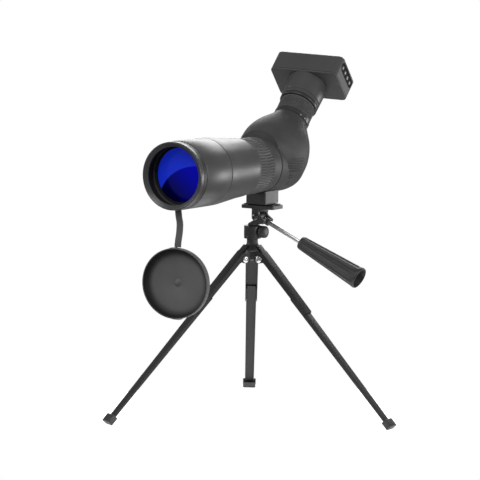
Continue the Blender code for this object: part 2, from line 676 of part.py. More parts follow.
def make_prism(scope, eye):
    """Roof prism and the bracket that it stands on."""
    outline = [(-3 * MM, -14 * MM), (28 * MM, -14 * MM), (36 * MM, -6 * MM), (36 * MM, 6 * MM),
               (20 * MM, 22 * MM), (-3 * MM, 14 * MM)]
    prism = plate_xz(outline, -14 * MM, 14 * MM)
    finish(turned_about(prism, "Z", math.pi / 2), "roof_prism", clear_glass(), scope)
    shape = block((-12 * MM, 4 * MM, -40 * MM), (12 * MM, 26 * MM, -14.3 * MM))
    bracket = finish(shape, "prism_bracket", anodised(), scope)
    combine(bracket, cutter(egg(3.4 * MM, 50 * MM, 24), "bracket_seat", eye), "INTERSECT")


# ---------------------------------------------------------------- eyepiece

def make_eyepiece(eye):
    """Eyepiece tube on the housing, its zoom ring, lens cell and eye lens."""
    body = [(15.5 * MM, 57 * MM), (16.7 * MM, 57 * MM), (16.7 * MM, 63.8 * MM), (21.2 * MM, 63.8 * MM),
            (21.4 * MM, 70 * MM), (18.4 * MM, 70 * MM), (18.4 * MM, 104 * MM), (16.4 * MM, 105 * MM),
            (15.5 * MM, 104 * MM)]
    finish(turned(body), "eyepiece_tube", anodised(), eye)
    zoom = empty("zoom_ring_axis", eye)
    ring = [(18.8 * MM, 70.3 * MM), (20.5 * MM, 70.3 * MM), (21 * MM, 71 * MM), (21 * MM, 87.6 * MM),
            (20.5 * MM, 88.3 * MM), (18.8 * MM, 88.3 * MM)]
    finish(turned(ring, FINE), "zoom_ring", rubber(), zoom)
    top = [(18.8 * MM, 88.6 * MM), (22.2 * MM, 88.6 * MM), (22.7 * MM, 89.4 * MM), (22.7 * MM, 92.6 * MM),
           (18.8 * MM, 92.6 * MM)]
    finish(turned(top), "eyepiece_top_ring", anodised(), eye)
    cell = [(9.6 * MM, 74 * MM), (9.0 * MM, 72 * MM), (15.2 * MM, 72 * MM), (15.2 * MM, 80 * MM),
            (9.9 * MM, 80 * MM), (9.9 * MM, 74 * MM)]
    finish(turned(cell, 24), "zoom_cell", anodised(), eye)
    finish(lens(9.6 * MM, 74.4 * MM, 77 * MM, 0.2 * MM, 1.5 * MM, 20), "zoom_lens", clear_glass(), eye)
    finish(lens(15.2 * MM, 95 * MM, 98 * MM, 2 * MM, 2 * MM, 24), "eye_lens", clear_glass(), eye)


# ---------------------------------------------------------------- camera

def make_adapter(eye):
    """Tube that slides over the eyepiece and carries the camera."""
    slide = empty("adapter_slide_axis", eye)
    inner = 18.7 * MM
    profile = [(inner, 92.9 * MM), (22.8 * MM, 92.9 * MM), (22.8 * MM, 96.6 * MM), (22.2 * MM, 96.9 * MM),
               (22.2 * MM, 97.3 * MM), (22.8 * MM, 97.6 * MM), (23.4 * MM, 121.6 * MM),
               (9.6 * MM, 121.6 * MM), (9.6 * MM, 118 * MM), (inner, 117 * MM)]
    finish(turned(profile), "camera_adapter", satin_barrel(), slide)
    return slide


def make_camera(slide):
    """Camera box: two shells, lens, board, sensor, battery and a button panel at one end."""
    turn = empty("camera_turn_axis", slide, (0, 0, 0), (0, 0, CAMERA_TURN))
    width, depth = CAMERA_SIZE
    inner_width = width - 2 * CAMERA_WALL
    inner_depth = depth - 2 * CAMERA_WALL
    corner = 4.5 * MM
    inner_corner = 3 * MM
    edge = 1.2 * MM

    near = lofted([rounded_rectangle(width - 2 * edge, depth - 2 * edge, corner, CAMERA_NEAR),
                   rounded_rectangle(width, depth, corner, CAMERA_NEAR + edge),
                   rounded_rectangle(width, depth, corner, CAMERA_SPLIT - GAP)])
    front = finish(near, "camera_front_shell", camera_plastic(), turn)
    cut(front, cutter(rod(9 * MM, CAMERA_NEAR - 2 * MM, CAMERA_NEAR + 5 * MM, 24), "lens_port", turn))

    far = lofted([rounded_rectangle(inner_width, inner_depth, inner_corner, CAMERA_FAR - CAMERA_WALL),
                  rounded_rectangle(inner_width, inner_depth, inner_corner, CAMERA_SPLIT),
                  rounded_rectangle(width, depth, corner, CAMERA_SPLIT),
                  rounded_rectangle(width, depth, corner, CAMERA_FAR - edge),
                  rounded_rectangle(width - 2 * edge, depth - 2 * edge, corner, CAMERA_FAR)])
    back = finish(far, "camera_back_shell", camera_plastic(), turn)

    panel_height = 140.6 * MM
    panel_half = (18.5 * MM, 5.6 * MM)
    window = block((width / 2 - 4 * MM, -panel_half[0] - GAP, panel_height - panel_half[1] - GAP),
                   (width / 2 + 2 * MM, panel_half[0] + GAP, panel_height + panel_half[1] + GAP), 4 * MM, 0)
    cut(back, cutter(window, "panel_window", turn))
    panel_face = width / 2 - 0.8 * MM
    panel = finish(block((panel_face - 1.4 * MM, -panel_half[0], panel_height - panel_half[1]),
                         (panel_face, panel_half[0], panel_height + panel_half[1]), 4 * MM, 0),
                   "button_panel", black_plastic(), turn)
    for index in range(4):
        place = (0, (index - 1.5) * 8.6 * MM, panel_height)
        hole = moved(along_x(rod(3.0 * MM, panel_face - 4 * MM, panel_face + 2 * MM)), place)
        cut(panel, cutter(hole, f"button_hole_{index + 1}", turn))
        button = rod(2.7 * MM, panel_face - 2.4 * MM, panel_face + 0.7 * MM)
        press = empty(f"button_axis_{index + 1}", turn, place)
        finish(along_x(button), f"camera_button_{index + 1}", button_white(), press)

    barrel = [(0, 114 * MM), (6.5 * MM, 114 * MM), (8.6 * MM, 116 * MM), (8.6 * MM, 127.5 * MM),
              (0, 127.5 * MM)]
    finish(turned(barrel, 24), "camera_lens", anodised(), turn)
    sensor = block((-6 * MM, -5 * MM, 128.2 * MM), (6 * MM, 5 * MM, 130.2 * MM))
    finish(sensor, "image_sensor", cell_silver(), turn)
    board = block((-38 * MM, -19 * MM, 130.6 * MM), (34 * MM, 19 * MM, 132.2 * MM))
    finish(board, "circuit_board", circuit_green(), turn)
    battery = block((-36 * MM, -17 * MM, 137 * MM), (22 * MM, 17 * MM, 143 * MM), 1 * MM)
    finish(battery, "battery", cell_silver(), turn)


def build():
    clear_scene()
    tripod = empty("tripod_axis", None, (TRIPOD_X, TRIPOD_Y, LIFT))
    make_crown(tripod)
    for index, side in enumerate(LEG_NAMES):
        make_leg(tripod, index, side)
    make_collar(tripod)
    make_pan_bolt(tripod)
    make_pan_knob(tripod)

    pan = empty("pan_axis", tripod)
    make_pan_head(pan)
    tilt = empty("tilt_axis", pan, (TILT_X, 0, TILT_Z))
    drop = (-HANDLE_OFFSET * math.sin(HANDLE_DROP), 0, -HANDLE_OFFSET * math.cos(HANDLE_DROP))
    grip_axis = empty("handle_axis", tilt, drop, (0, math.pi / 2 + HANDLE_DROP, 0))
    make_platform(tilt, grip_axis)
    make_pad(tilt)
    make_tilt_bolt(tilt)
    make_camera_screw(tilt)
    make_handle(grip_axis)

    scope = empty("scope_axis", tilt, (SCOPE_X - TILT_X, 0, AXIS_HEIGHT - TILT_Z))
    tube = empty("optical_axis", scope, (0, 0, 0), (-math.pi / 2, 0, 0))
    eye = empty("eyepiece_axis", scope, (0, EYEPIECE_Y, 0), (-EYEPIECE_ANGLE, 0, 0))
    make_foot(scope, eye)
    make_barrel(tube)
    make_objective(tube)
    make_focus(tube)
    shade = empty("sunshade_slide_axis", tube)
    make_sunshade(shade)
    make_cap_strap(shade)

    make_housing(tube, eye)
    make_prism(scope, eye)
    make_eyepiece(eye)
    make_camera(make_adapter(eye))


build()
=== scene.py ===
import json
import math

import bmesh
import bpy
from mathutils import Matrix, Vector


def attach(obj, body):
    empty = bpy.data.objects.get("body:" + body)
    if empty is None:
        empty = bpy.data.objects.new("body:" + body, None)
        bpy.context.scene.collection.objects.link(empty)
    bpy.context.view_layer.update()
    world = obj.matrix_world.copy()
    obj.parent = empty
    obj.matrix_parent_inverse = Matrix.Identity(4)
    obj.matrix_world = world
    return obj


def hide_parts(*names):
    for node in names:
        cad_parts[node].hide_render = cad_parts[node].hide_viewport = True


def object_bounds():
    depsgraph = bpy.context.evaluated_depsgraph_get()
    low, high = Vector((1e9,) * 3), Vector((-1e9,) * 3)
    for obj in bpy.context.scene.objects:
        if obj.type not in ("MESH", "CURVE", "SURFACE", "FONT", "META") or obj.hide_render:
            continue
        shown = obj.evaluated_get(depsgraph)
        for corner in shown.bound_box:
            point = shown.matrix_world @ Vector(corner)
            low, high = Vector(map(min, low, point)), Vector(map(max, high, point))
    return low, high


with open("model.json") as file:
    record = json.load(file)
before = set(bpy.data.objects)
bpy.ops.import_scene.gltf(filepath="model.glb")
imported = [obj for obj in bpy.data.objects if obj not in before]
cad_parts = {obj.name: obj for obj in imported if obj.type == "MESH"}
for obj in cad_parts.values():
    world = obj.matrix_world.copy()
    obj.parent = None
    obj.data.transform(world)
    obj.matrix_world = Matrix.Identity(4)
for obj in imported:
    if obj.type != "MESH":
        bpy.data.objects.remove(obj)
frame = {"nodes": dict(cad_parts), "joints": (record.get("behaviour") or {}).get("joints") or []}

CAD_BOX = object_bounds()
MM = 0.001
WELD = 0.00001      # metres; closer points of a carved mesh become one
TAU = math.tau
JOINTS = {j["name"]: j for j in frame["joints"]}

# driving sizes of the object, in millimetres and degrees
PIN_HEIGHT = 178.7          # the leg pins above the floor
LEG = 247.879               # from a leg's pin to the bottom of its boot
SPLAY = 43.5                # each leg from the vertical
KNOB_HEIGHT = 209.8         # the pan knob's axis above the floor
HANDLE_DROP = 25            # the handle below the horizontal
HANDLE_OFFSET = 0.7         # the handle's axis below the tilt axis
EYE_BACK = 17               # where the eyepiece's axis crosses the barrel's, behind the focus ring's joint
EYE_RISE = 45               # the eyepiece's axis from the vertical
CAMERA_TWIST = 3            # the camera box about the eyepiece's axis
CAP_TWIST = 7               # the cap about the vertical
CAP_STAND = 2.5             # the cap's middle plane in front of the strap
CAP_DROP = 40.1             # the cap's centre below the strap's end
BUTTON_PITCH = 8.6


# ------------------------------------------------------------------ places, all read from the frame

def spin(degrees, axis):
    return Matrix.Rotation(math.radians(degrees), 4, axis)


def shift(x=0.0, y=0.0, z=0.0):
    return Matrix.Translation((x * MM, y * MM, z * MM))


def pin(joint):
    return Vector(JOINTS[joint]["pos_m"])


AXIS = pin("pan")
LIFT = pin("leg_fold_right").z - PIN_HEIGHT * MM
DROP = math.radians(HANDLE_DROP)
TRIPOD = Matrix.Translation((AXIS.x, AXIS.y, LIFT))
TILT = Matrix.Translation(pin("tilt"))
GRIP = (TILT @ shift(-HANDLE_OFFSET * math.sin(DROP), 0, -HANDLE_OFFSET * math.cos(DROP))
        @ spin(90 + HANDLE_DROP, "Y"))
BARREL = Vector((pin("focus_turn").x, AXIS.y, pin("focus_turn").z))
TUBE = Matrix.Translation(BARREL) @ spin(-90, "X")
EYE = Matrix.Translation(BARREL) @ shift(0, EYE_BACK, 0) @ spin(-EYE_RISE, "X")
CAMERA = EYE @ spin(CAMERA_TWIST, "Z")
STRAP = Matrix.Translation(pin("strap_swing"))
CAP = (Matrix.Translation(pin("cap_swing")) @ spin(CAP_TWIST, "Z") @ shift(0, -CAP_STAND, -CAP_DROP)
       @ spin(-90, "X"))
LEGS = {}
for number, side in enumerate(("right", "back", "left")):
    LEGS[side] = Matrix.Translation(pin(f"leg_fold_{side}")) @ spin(120 * number, "Z") @ spin(-SPLAY, "Y")


# ------------------------------------------------------------------ mesh tools, in millimetres

class Shape:
    """Points, faces, and each face's material number."""

    def __init__(self):
        self.v = []
        self.f = []
        self.m = []

    def add(self, other, matrix=None, mat=None):
        start = len(self.v)
        for p in other.v:
            self.v.append(tuple(matrix @ Vector(p)) if matrix else p)
        self.f += [tuple(i + start for i in f) for f in other.f]
        self.m += [m if mat is None else mat for m in other.m]
        return self

    def turn(self, matrix):
        self.v = [tuple(matrix @ Vector(p)) for p in self.v]
        return self


def soften(points, radius, closed=True, steps=3):
    """The same outline with each corner rounded."""
    out = []
    count = len(points)
    for i, p in enumerate(points):
        if not closed and i in (0, count - 1):
            out.append(tuple(p))
            continue
        p = Vector(p)
        a = Vector(points[i - 1]) - p
        b = Vector(points[(i + 1) % count]) - p
        d = min(radius, 0.45 * a.length, 0.45 * b.length)
        a = p + a.normalized() * d
        b = p + b.normalized() * d
        for k in range(steps + 1):
            t = k / steps
            q = a * (1 - t) ** 2 + p * 2 * t * (1 - t) + b * t ** 2
            out.append(tuple(q))
    return out


def curve(points, steps):
    """A smooth line through the points."""
    out = []
    for i in range(len(points) - 1):
        p0 = points[max(i - 1, 0)]
        p1 = points[i]
        p2 = points[i + 1]
        p3 = points[min(i + 2, len(points) - 1)]
        for k in range(steps):
            t = k / steps
            out.append(tuple(
                0.5 * (2 * b + (c - a) * t + (2 * a - 5 * b + 4 * c - d) * t * t
                       + (3 * b - a - 3 * c + d) * t ** 3)
                for a, b, c, d in zip(p0, p1, p2, p3)))
    out.append(tuple(points[-1]))
    return out


def lathe(profile, segments=96, soft=0.0, shape=None):
    """A solid turned about Z. An outline that doesn't start on the axis is a ring.
    soft rounds its corners, and shape moves each point by its radius, height and angle."""
    ring = profile[0][0] > 1e-6
    if soft:
        profile = soften(profile, soft, ring)
    s = Shape()
    rows = []
    for r, z in profile:
        start = len(s.v)
        if r < 1e-6:
            s.v.append((0.0, 0.0, z))
            rows.append([start])
            continue
        for i in range(segments):
            a = TAU * i / segments
            rr, zz = shape(r, z, a) if shape else (r, z)
            s.v.append((rr * math.cos(a), rr * math.sin(a), zz))
        rows.append(list(range(start, start + segments)))
    pairs = list(zip(rows, rows[1:]))
    if ring:
        pairs.append((rows[-1], rows[0]))
    for a, b in pairs:
        for i in range(segments):
            j = (i + 1) % segments
            if len(a) == 1 and len(b) == 1:
                break
            if len(a) == 1:
                s.f.append((a[0], b[j], b[i]))
            elif len(b) == 1:
                s.f.append((a[i], a[j], b[0]))
            else:
                s.f.append((a[i], a[j], b[j], b[i]))
    s.m = [0] * len(s.f)
    return s


def cylinder(radius, low, high, segments=48, soft=0.0):
    return lathe([(0, low), (radius, low), (radius, high), (0, high)], segments, soft)


def loft(rings):
    """A solid through a row of outlines with equal numbers of points, closed at both ends."""
    s = Shape()
    rows = []
    for ring in rings:
        rows.append(list(range(len(s.v), len(s.v) + len(ring))))
        s.v += [tuple(p) for p in ring]
    for a, b in zip(rows, rows[1:]):
        for i in range(len(a)):
            j = (i + 1) % len(a)
            s.f.append((a[i], a[j], b[j], b[i]))
    s.f.append(tuple(reversed(rows[0])))
    s.f.append(tuple(rows[-1]))
    s.m = [0] * len(s.f)
    return s


def rectangle(width, depth, radius, height, centre=(0, 0), steps=6):
    """A level outline with rounded corners."""
    radius = max(radius, 0.05)
    out = []
    for k, (sx, sy) in enumerate(((1, 1), (-1, 1), (-1, -1), (1, -1))):
        cx = centre[0] + sx * (width / 2 - radius)
        cy = centre[1] + sy * (depth / 2 - radius)
        for i in range(steps + 1):
            a = TAU / 4 * (k + i / steps)
            out.append((cx + radius * math.cos(a), cy + radius * math.sin(a), height))
    return out


def edge_steps(edge, low, count=4):
    """Insets and heights of a rounded edge, going up from a flat face at height low."""
    return [(edge * (1 - math.sin(TAU / 4 * k / count)), low + edge * (1 - math.cos(TAU / 4 * k / count)))
            for k in range(count + 1)]


def top_steps(edge, high, count=4):
    """The same rounded edge turned over, going up to a flat face at height high."""
    return [(inset, high - rise) for inset, rise in reversed(edge_steps(edge, 0, count))]


def rounded_box(low, high, corner=1.0, edge=0.4):
    w = high[0] - low[0]
    d = high[1] - low[1]
    c = ((high[0] + low[0]) / 2, (high[1] + low[1]) / 2)
    return loft([rectangle(w - 2 * inset, d - 2 * inset, corner - inset, z, c)
                 for inset, z in edge_steps(edge, low[2]) + top_steps(edge, high[2])])


def slab(outline, low, high, edge=0.35, corner=0.5):
    """A flat plate from an outline in XZ, between two Y values, with rounded edges."""
    outline = soften(outline, corner)
    cx = sum(p[0] for p in outline) / len(outline)
    cz = sum(p[1] for p in outline) / len(outline)
    reach = max(math.hypot(p[0] - cx, p[1] - cz) for p in outline)
    rings = []
    for inset, y in edge_steps(edge, low, 3) + top_steps(edge, high, 3):
        k = 1 - inset / reach
        rings.append([(cx + (x - cx) * k, y, cz + (z - cz) * k) for x, z in outline])
    return loft(rings)


def arc(cx, cz, radius, start, end, steps):
    """Points on a circle in XZ, from one angle to another, in degrees."""
    return [(cx + radius * math.cos(math.radians(start + (end - start) * k / steps)),
             cz + radius * math.sin(math.radians(start + (end - start) * k / steps)))
            for k in range(steps + 1)]


def linked(name, data):
    obj = bpy.data.objects.new(name, data)
    bpy.context.collection.objects.link(obj)
    return obj


def dressed(name, mesh, mats, angle, weld=0.0):
    """An object of the mesh: faces pointing out, corners sharper than angle kept crisp, materials on."""
    bm = bmesh.new()
    bm.from_mesh(mesh)
    if weld:
        bmesh.ops.remove_doubles(bm, verts=bm.verts, dist=weld)
        bmesh.ops.dissolve_degenerate(bm, edges=bm.edges, dist=weld)
    bmesh.ops.recalc_face_normals(bm, faces=bm.faces)
    bm.to_mesh(mesh)
    bm.free()
    for m in mats:
        mesh.materials.append(m)
    mesh.shade_smooth()
    mesh.set_sharp_from_angle(angle=math.radians(angle))
    return linked(name, mesh)


def make_object(name, shape, mats, angle):
    mesh = bpy.data.meshes.new(name)
    mesh.from_pydata([(x * MM, y * MM, z * MM) for x, y, z in shape.v], [], shape.f)
    mesh.polygons.foreach_set("material_index", shape.m)
    return dressed(name, mesh, mats, angle)


def piece(name, shape, matrix, body, mats, nodes=(), angle=35):
    obj = make_object(name, shape, mats, angle)
    return settle(obj, matrix, body, nodes)


def settle(obj, matrix, body, nodes=()):
    """Put the piece in its place on its body, and hide the CAD nodes that it stands for."""
    obj.matrix_world = matrix
    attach(obj, body)
    if nodes:
        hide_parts(*nodes)
    return obj


def trimmed(base, tool):
    """base with tool taken away, as a shape that can be used again."""
    obj = carve("trim", base, [("DIFFERENCE", tool)], [])
    out = Shape()
    out.v = [tuple(v.co / MM) for v in obj.data.vertices]
    out.f = [tuple(f.vertices) for f in obj.data.polygons]
    out.m = [0] * len(out.f)
    bpy.data.objects.remove(obj)
    return out


def carve(name, base, steps, mats, angle=35):
    """base combined with each (operation, shape); the result is a plain mesh."""
    obj = make_object(name + "_raw", base, mats, angle)
    tools = []
    for number, (operation, shape) in enumerate(steps):
        tool = make_object(f"{name}_tool_{number}", shape, mats, angle)
        tools.append(tool)
        modifier = obj.modifiers.new("c", "BOOLEAN")
        modifier.operation = operation
        modifier.solver = "EXACT"
        modifier.object = tool
    bpy.context.view_layer.update()
    graph = bpy.context.evaluated_depsgraph_get()
    mesh = bpy.data.meshes.new_from_object(obj.evaluated_get(graph))
    for item in [obj, *tools]:
        bpy.data.objects.remove(item)
    mesh.materials.clear()
    new = dressed(name, mesh, mats, angle, weld=WELD)
    even = new.modifiers.new("even_normals", "WEIGHTED_NORMAL")
    even.keep_sharp = True
    even.weight = 100
    return new


# ------------------------------------------------------------------ materials

class Nodes:
    """A node tree. An input is given as a value, or as the socket that feeds it."""

    def __init__(self, tree):
        self.tree = tree

    def fill(self, node, inputs):
        for key, value in inputs.items():
            if isinstance(value, bpy.types.NodeSocket):
                self.tree.links.new(value, node.inputs[key])
            else:
                node.inputs[key].default_value = value

    def add(self, kind, inputs, output=0, **settings):
        node = self.tree.nodes.new("ShaderNode" + kind)
        for key, value in settings.items():
            setattr(node, key, value)
        self.fill(node, inputs)
        return node.outputs[output]

    def ramp(self, factor, stops):
        node = self.add("ValToRGB", {"Fac": factor}).node
        for element, (position, colour) in zip(node.color_ramp.elements, stops):
            element.position = position
            element.color = (*colour, 1)
        return node.outputs["Color"]


def new_material(name):
    mat = bpy.data.materials.new(name)
    mat.use_nodes = True
    return mat, Nodes(mat.node_tree), mat.node_tree.nodes["Principled BSDF"]


def finish_of(name, dark, light, rough, metal=0.0, patch=35.0, grain=1400.0, depth=0.04, cells=0.0,
              spread=0.08, specular=0.5):
    """A surface with slow colour and gloss variation, fine grain, and an optional leather-like cell pattern.
    patch, grain and cells are in features per metre; depth is the relief's height in millimetres."""
    mat, tree, shader = new_material(name)
    where = tree.add("TexCoord", {}, "Object")
    slow = tree.add("TexNoise", {"Vector": where, "Scale": patch, "Detail": 5, "Roughness": 0.6}, "Fac")
    fine = tree.add("TexNoise", {"Vector": where, "Scale": grain, "Detail": 3}, "Fac")
    slow_part = tree.add("Math", {0: slow, 1: 0.55}, operation="MULTIPLY")
    both = tree.add("Math", {0: fine, 1: 0.45, 2: slow_part}, operation="MULTIPLY_ADD")
    colour = tree.ramp(both, ((0.35, dark), (0.65, light)))
    gloss = tree.add("MapRange", {"Value": both, "From Min": 0.3, "From Max": 0.7, "To Min": rough - spread,
                                  "To Max": rough + spread}, "Result")
    relief = fine
    if cells:
        leather = tree.add("TexVoronoi", {"Vector": where, "Scale": cells, "Smoothness": 0.4}, "Distance",
                           feature="SMOOTH_F1")
        relief = tree.add("Math", {0: fine, 1: 0.35, 2: leather}, operation="MULTIPLY_ADD")
    bump = tree.add("Bump", {"Height": relief, "Strength": 0.6, "Distance": depth * MM}, "Normal")
    tree.fill(shader, {"Metallic": metal, "Specular IOR Level": specular, "Base Color": colour,
                       "Roughness": gloss, "Normal": bump})
    return mat


def paint_shade_between(mat, start, end, amount):
    """Painted shade: let the colour fall off with distance from the piece's own Z axis."""
    tree = Nodes(mat.node_tree)
    shader = mat.node_tree.nodes["Principled BSDF"]
    plain = shader.inputs["Base Color"].links[0].from_socket
    where = tree.add("TexCoord", {}, "Object")
    flat = tree.add("VectorMath", {0: where, 1: (1, 1, 0)}, "Vector", operation="MULTIPLY")
    reach = tree.add("VectorMath", {0: flat}, "Value", operation="LENGTH")
    fall = tree.add("MapRange", {"Value": reach, "From Min": start * MM, "From Max": end * MM, "To Min": 1.0,
                                 "To Max": amount}, "Result", interpolation_type="SMOOTHSTEP")
    scaled = tree.add("VectorMath", {0: plain, "Scale": fall}, "Vector", operation="SCALE")
    tree.fill(shader, {"Base Color": scaled})
    return mat


def glass_of(name, deep, bright, reflected_band=None, painted_glow=0.0):
    """Coated lens glass whose colour runs from a bright tint to a deep one across it, a painted reflection; a band
    colour adds a painted reflection band beyond an oval, and a glow strength makes the colour glow as painted
    light.
    """
    mat, tree, shader = new_material(name)
    tree.fill(shader, {"Roughness": 0.12, "Specular IOR Level": 0.3, "Specular Tint": (0.05, 0.12, 1.0, 1),
                       "Coat Weight": 0.35, "Coat Roughness": 0.02, "Coat Tint": (0.6, 0.7, 1.0, 1)})
    where = tree.add("TexCoord", {}, "Object")
    turned = tree.add("Mapping", {"Vector": where, "Rotation": (0, 0, math.radians(-40))}, "Vector")
    across = tree.add("SeparateXYZ", {"Vector": turned}, "Y")
    noise = tree.add("TexNoise", {"Vector": turned, "Scale": 18}, "Fac")
    soft = tree.add("Math", {0: noise, 1: 0.006, 2: across}, operation="MULTIPLY_ADD")
    span = tree.add("MapRange", {"Value": soft, "From Min": -0.034, "From Max": 0.034}, "Result")
    # painted reflection: the tint runs from bright to deep across the glass, with a little noise
    colour = tree.ramp(span, ((0.25, bright), (0.9, deep)))
    if reflected_band:
        # painted reflection band: everything beyond an oval, whose centre is off the glass, takes the band's colour
        oval = tree.add("Mapping", {"Vector": where, "Scale": (0.9, 1, 0), "Location": (-0.0198, -0.036, 0)},
                        "Vector")
        reach = tree.add("VectorMath", {0: oval}, "Value", operation="LENGTH")
        edge = tree.add("MapRange", {"Value": reach, "From Min": 0.0465, "From Max": 0.0474}, "Result")
        colour = tree.add("Mix", {0: edge, 6: colour, 7: (*reflected_band, 1)}, 2, data_type="RGBA")
    tree.fill(shader, {"Base Color": colour})
    # painted light: the glass glows in its own colour, standing in for light reflected off it
    if painted_glow:
        tree.fill(shader, {"Emission Color": colour, "Emission Strength": painted_glow})
    return mat


SATIN = finish_of("satin_barrel", (0.056, 0.056, 0.058), (0.076, 0.076, 0.078), 0.38, patch=22, grain=2600,
                  depth=0.035, spread=0.04)
SATIN_IN = finish_of("matt_black_inside", (0.008, 0.008, 0.009), (0.014, 0.014, 0.015), 0.8, grain=1800,
                     depth=0.05, specular=0.2)
LIP = finish_of("lip_enamel", (0.05, 0.05, 0.052), (0.066, 0.066, 0.068), 0.36, patch=30, grain=2400,
                depth=0.02, spread=0.04)
ARMOUR = finish_of("soft_armour", (0.042, 0.042, 0.044), (0.062, 0.062, 0.064), 0.56, patch=40, grain=2200,
                   depth=0.11, cells=1500, spread=0.06, specular=0.45)
RIBBED = finish_of("ribbed_rubber", (0.048, 0.048, 0.05), (0.075, 0.075, 0.077), 0.52, patch=60, grain=2600,
                   depth=0.07, cells=1900, spread=0.07)
RUBBER = finish_of("rubber", (0.02, 0.02, 0.021), (0.034, 0.034, 0.035), 0.5, patch=50, grain=1500, depth=0.05)
PLASTIC = finish_of("black_plastic", (0.032, 0.032, 0.034), (0.05, 0.05, 0.052), 0.45, patch=50, grain=1800,
                    depth=0.02, cells=1400, spread=0.06)
PAINT = finish_of("leg_paint", (0.02, 0.02, 0.022), (0.03, 0.03, 0.032), 0.5, patch=45, grain=900,
                  depth=0.03, spread=0.06, specular=0.28)
STEEL = finish_of("bright_steel", (0.68, 0.68, 0.69), (0.86, 0.86, 0.87), 0.3, metal=1.0, patch=60,
                  grain=1600, depth=0.012, spread=0.06)
DIM_STEEL = finish_of("dull_steel", (0.1, 0.1, 0.102), (0.16, 0.16, 0.162), 0.36, metal=1.0, patch=60,
                      grain=1600, depth=0.012, spread=0.06)
ANODISED = finish_of("black_anodised", (0.04, 0.04, 0.042), (0.06, 0.06, 0.062), 0.36, metal=0.35, patch=40,
                     grain=2400, depth=0.02, spread=0.05)
SHELL = finish_of("camera_plastic", (0.056, 0.056, 0.058), (0.072, 0.072, 0.074), 0.5, patch=30, grain=2600,
                  depth=0.005, spread=0.03)
BUTTON = finish_of("button_plastic", (0.07, 0.07, 0.072), (0.1, 0.1, 0.102), 0.4, patch=90, grain=2400,
                   depth=0.02)
PRINT = finish_of("white_print", (0.5, 0.5, 0.49), (0.62, 0.62, 0.6), 0.5, patch=90, grain=2400, depth=0.01)
CAPPED = finish_of("cap_rubber", (0.1, 0.1, 0.102), (0.125, 0.125, 0.127), 0.62, patch=30, grain=1900,
                   spread=0.05, specular=0.3)
CAP_INSIDE_SHADED = finish_of("cap_inside_painted_shade", (0.13, 0.13, 0.132), (0.16, 0.16, 0.162), 0.62, patch=30, grain=1900,
                      depth=0.03, spread=0.05, specular=0.25)
# painted shade: the cap's inside darkens from 28.5 mm out to its rim, to a tenth, standing in for the shadow on its
# inner wall
paint_shade_between(CAP_INSIDE_SHADED, 28.5, 36.0, 0.1)
# the front lens wears a painted reflection gradient, a painted reflection band and a painted glow
LENS = glass_of("coated_glass", (0.0, 0.0, 0.02), (0.0, 0.0, 0.4), (0.01, 0.03, 0.55), 0.42)
GLASS = glass_of("clear_glass", (0.02, 0.03, 0.05), (0.05, 0.07, 0.1))
BOARD = finish_of("circuit_green", (0.01, 0.09, 0.03), (0.015, 0.14, 0.05), 0.4, patch=220, grain=3000,
                  depth=0.05)
CELL = finish_of("cell_silver", (0.45, 0.45, 0.46), (0.6, 0.6, 0.61), 0.4, metal=0.8, patch=60, grain=1800,
                 depth=0.02)


# ------------------------------------------------------------------ tripod

def channel(width, low, high, z, wall=0.8, bend=1.3):
    """The U-shaped section of a leg at height z: its web is at x = high and its open side at x = low."""
    outer = width / 2
    inner = outer - wall
    web = high - wall
    depth = high - low
    bend = min(bend, 0.4 * depth)
    inside = max(min(bend - wall, 0.4 * (web - low)), 0.02)
    out = [(low, -outer)]
    out += [(high - bend + bend * math.sin(a), -outer + bend - bend * math.cos(a))
            for a in (0, TAU / 16, TAU / 8, 3 * TAU / 16, TAU / 4)]
    out += [(high - bend + bend * math.cos(a), outer - bend + bend * math.sin(a))
            for a in (0, TAU / 16, TAU / 8, 3 * TAU / 16, TAU / 4)]
    out += [(low, outer), (low, inner)]
    out += [(web - inside + inside * math.sin(a), inner - inside + inside * math.cos(a))
            for a in (0, TAU / 8, TAU / 4)]
    out += [(web - inside + inside * math.cos(a), -inner + inside - inside * math.sin(a))
            for a in (0, TAU / 8, TAU / 4)]
    out += [(low, -inner)]
    return [(x, y, z) for x, y in out]


def upper_leg():
    rings = [channel(13.4, 2.3, 6.75, -85, 0.6), channel(13.9, 2.1, 7.3, -83.4)]
    # round the pin the sides swell into ears, and above it only the web goes on
    for width, low, z in ((14.6, 2.0, -9), (14.6, 1.7, -7), (14.6, -0.2, -4.6), (14.6, -2.3, -3.1),
                          (14.6, -3.4, -1.8), (14.6, -3.9, 0), (14.6, -3.5, 1.7), (14.6, -2.6, 2.8),
                          (14.6, -1.2, 3.5), (14.4, 2.4, 3.9), (12.4, 6.6, 4.6), (10.2, 7.36, 5.6),
                          (10.0, 7.38, 7), (10.0, 7.38, 13.4)):
        rings.append(channel(width, low, 8.2, z))
    return loft(rings + [channel(9.0, 7.42, 8.15, 14)])


def lower_leg():
    return loft([channel(10.6, 0.8, 3.1, -LEG + 2), channel(11.2, 0.6, 4.6, -150),
                 channel(11.88, 0.42, 6.1, -61), channel(11.8, 0.6, 5.9, -60)])


def boot():
    """A rubber boot with a groove near its sole; the last three rings are its socket."""
    def ring(width, low, high, rise, corner=0.9):
        return rectangle(high - low, width, corner, -LEG + rise, ((high + low) / 2, 0), 4)
    return loft([ring(14.9, -1.0, 5.5, 0, 0.6), ring(15.2, -1.2, 5.7, 0.15), ring(15.4, -1.3, 5.8, 0.5),
                 ring(15.4, -1.3, 5.8, 2.2), ring(14.9, -1.05, 5.55, 2.35), ring(14.9, -1.05, 5.55, 2.75),
                 ring(15.4, -1.3, 5.8, 2.9), ring(15.4, -1.3, 5.8, 9.5), ring(15.3, -1.25, 5.7, 10),
                 ring(14.9, -1.1, 5.4, 10.3), ring(11.8, 0.1, 3.9, 10.4, 0.5), ring(11.3, 0.4, 3.6, 10.2, 0.4),
                 ring(11.3, 0.4, 3.6, 1.6, 0.4)])


